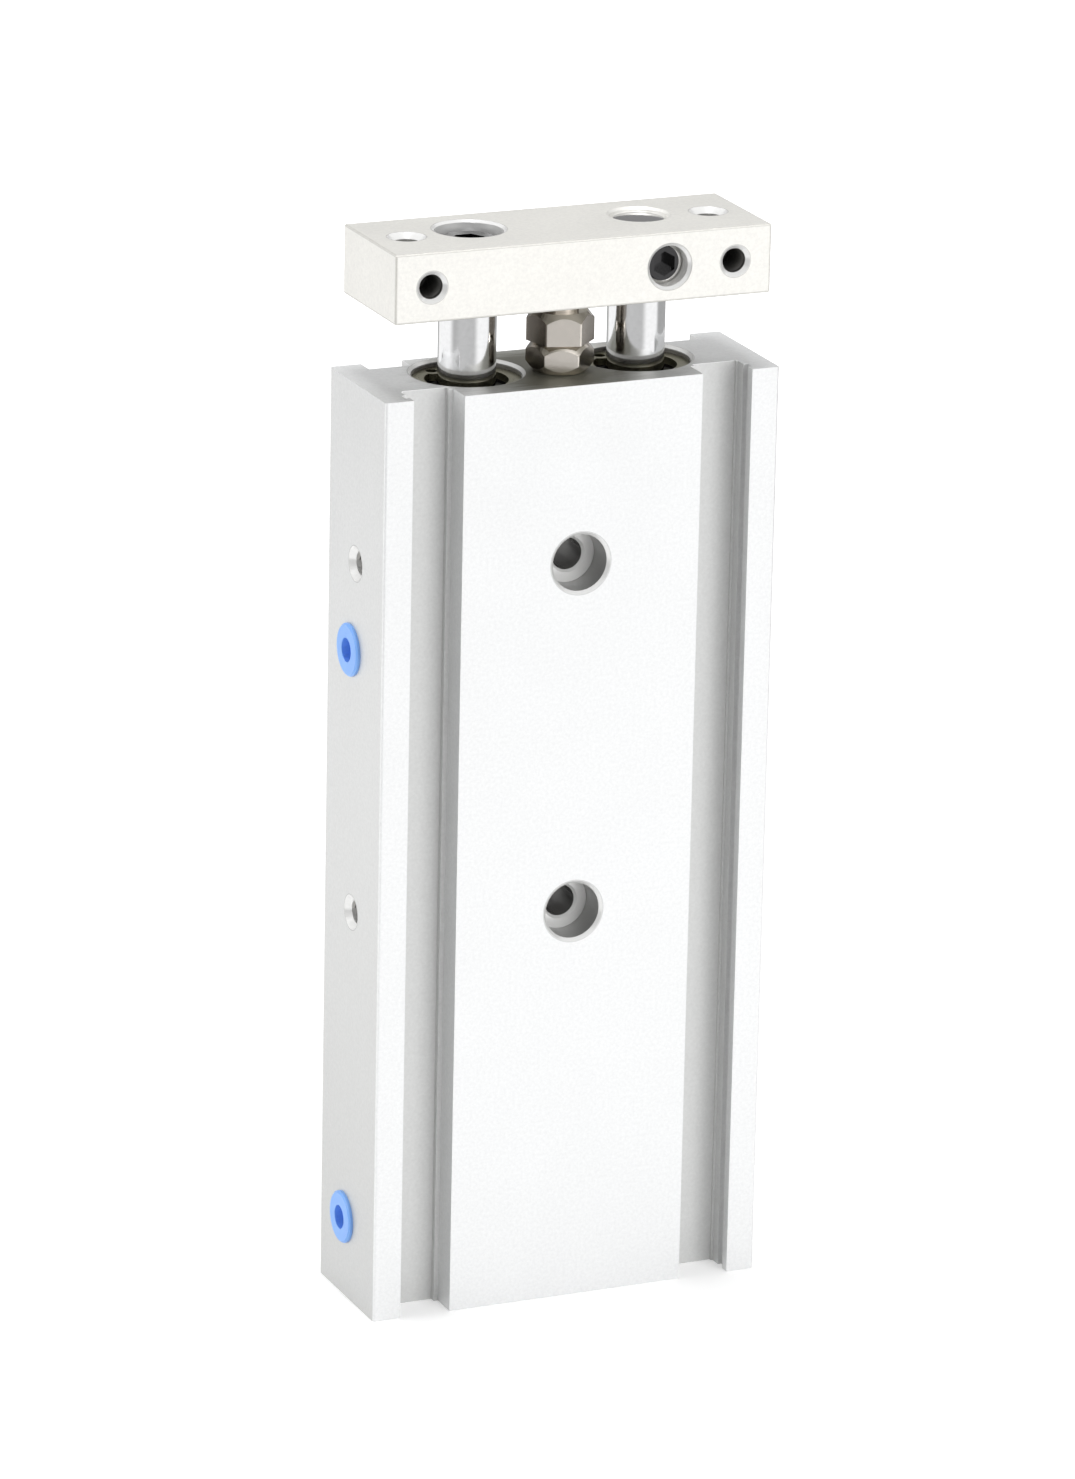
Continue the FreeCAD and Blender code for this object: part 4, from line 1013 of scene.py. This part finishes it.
def camera(context, settings):
    """A long lens from the front, to the left and a little above."""
    data = bpy.data.cameras.new("camera")
    data.lens = settings.lens
    data.sensor_width = 36.0
    data.clip_start = 0.05
    data.clip_end = 20.0
    viewer = bpy.data.objects.new("camera", data)
    viewer.location = Vector(CAMERA_PLACE) * MM
    viewer.rotation_mode = "QUATERNION"
    ahead = Vector(CAMERA_AIM).normalized()
    tilt = Quaternion((0.0, 0.0, 1.0), math.radians(CAMERA_ROLL))
    viewer.rotation_quaternion = ahead.to_track_quat("-Z", "Y") @ tilt
    context.scene.collection.objects.link(viewer)
    context.scene.camera = viewer


class CYLINDER_OT_studio(bpy.types.Operator):
    """Set up the pale floor, the soft light and the camera"""
    bl_idname = "cylinder.studio"
    bl_label = "Studio"

    def execute(self, context):
        settings = context.scene.studio_settings
        pale_floor(settings)
        soft_sky(context, settings)
        reflection_screen(settings)
        soft_box("key_lamp", settings.key_power, size=1.2, place=(0.55, -1.7, 0.75))
        soft_box("top_lamp", settings.top_power, size=0.5, place=(0.0, 0.15, 1.6))
        soft_box("side_lamp", settings.side_power, size=0.9, place=(-1.6, 0.35, 0.6))
        camera(context, settings)
        context.scene.view_settings.view_transform = "Standard"
        return {"FINISHED"}


class CYLINDER_PT_sidebar(bpy.types.Panel):
    """Lists the pieces of the cylinder and their settings"""
    bl_idname = "CYLINDER_PT_sidebar"
    bl_label = "Guided Cylinder"
    bl_space_type = "VIEW_3D"
    bl_region_type = "UI"
    bl_category = "Cylinder"

    def draw(self, context):
        for operator in OPERATORS:
            self.layout.operator(operator.bl_idname)
        for name in SETTINGS:
            group = getattr(context.scene, name)
            box = self.layout.box()
            for field in group.bl_rna.properties.keys():
                if field not in {"rna_type", "name"}:
                    box.prop(group, field)


SETTINGS = {
    "anodised_finish": AnodisedFinish,
    "rod_finish": RodFinish,
    "fastener_finish": FastenerFinish,
    "cap_finish": CapFinish,
    "studio_settings": StudioSettings,
}
OPERATORS = (
    CYLINDER_OT_housing,
    CYLINDER_OT_rods,
    CYLINDER_OT_inner_parts,
    CYLINDER_OT_fasteners,
    CYLINDER_OT_dust_caps,
    CYLINDER_OT_threads,
    CYLINDER_OT_studio,
)
CLASSES = (*SETTINGS.values(), *OPERATORS, CYLINDER_PT_sidebar)


def register():
    for item in CLASSES:
        bpy.utils.register_class(item)
    for name, group in SETTINGS.items():
        setattr(bpy.types.Scene, name, PointerProperty(type=group))


def unregister():
    for name in SETTINGS:
        delattr(bpy.types.Scene, name)
    for item in reversed(CLASSES):
        bpy.utils.unregister_class(item)


def main():
    register()
    bpy.ops.cylinder.housing()
    bpy.ops.cylinder.rods()
    bpy.ops.cylinder.inner_parts()
    bpy.ops.cylinder.fasteners()
    bpy.ops.cylinder.dust_caps()
    bpy.ops.cylinder.threads()
    bpy.ops.cylinder.studio()


if __name__ == "__main__":
    main()
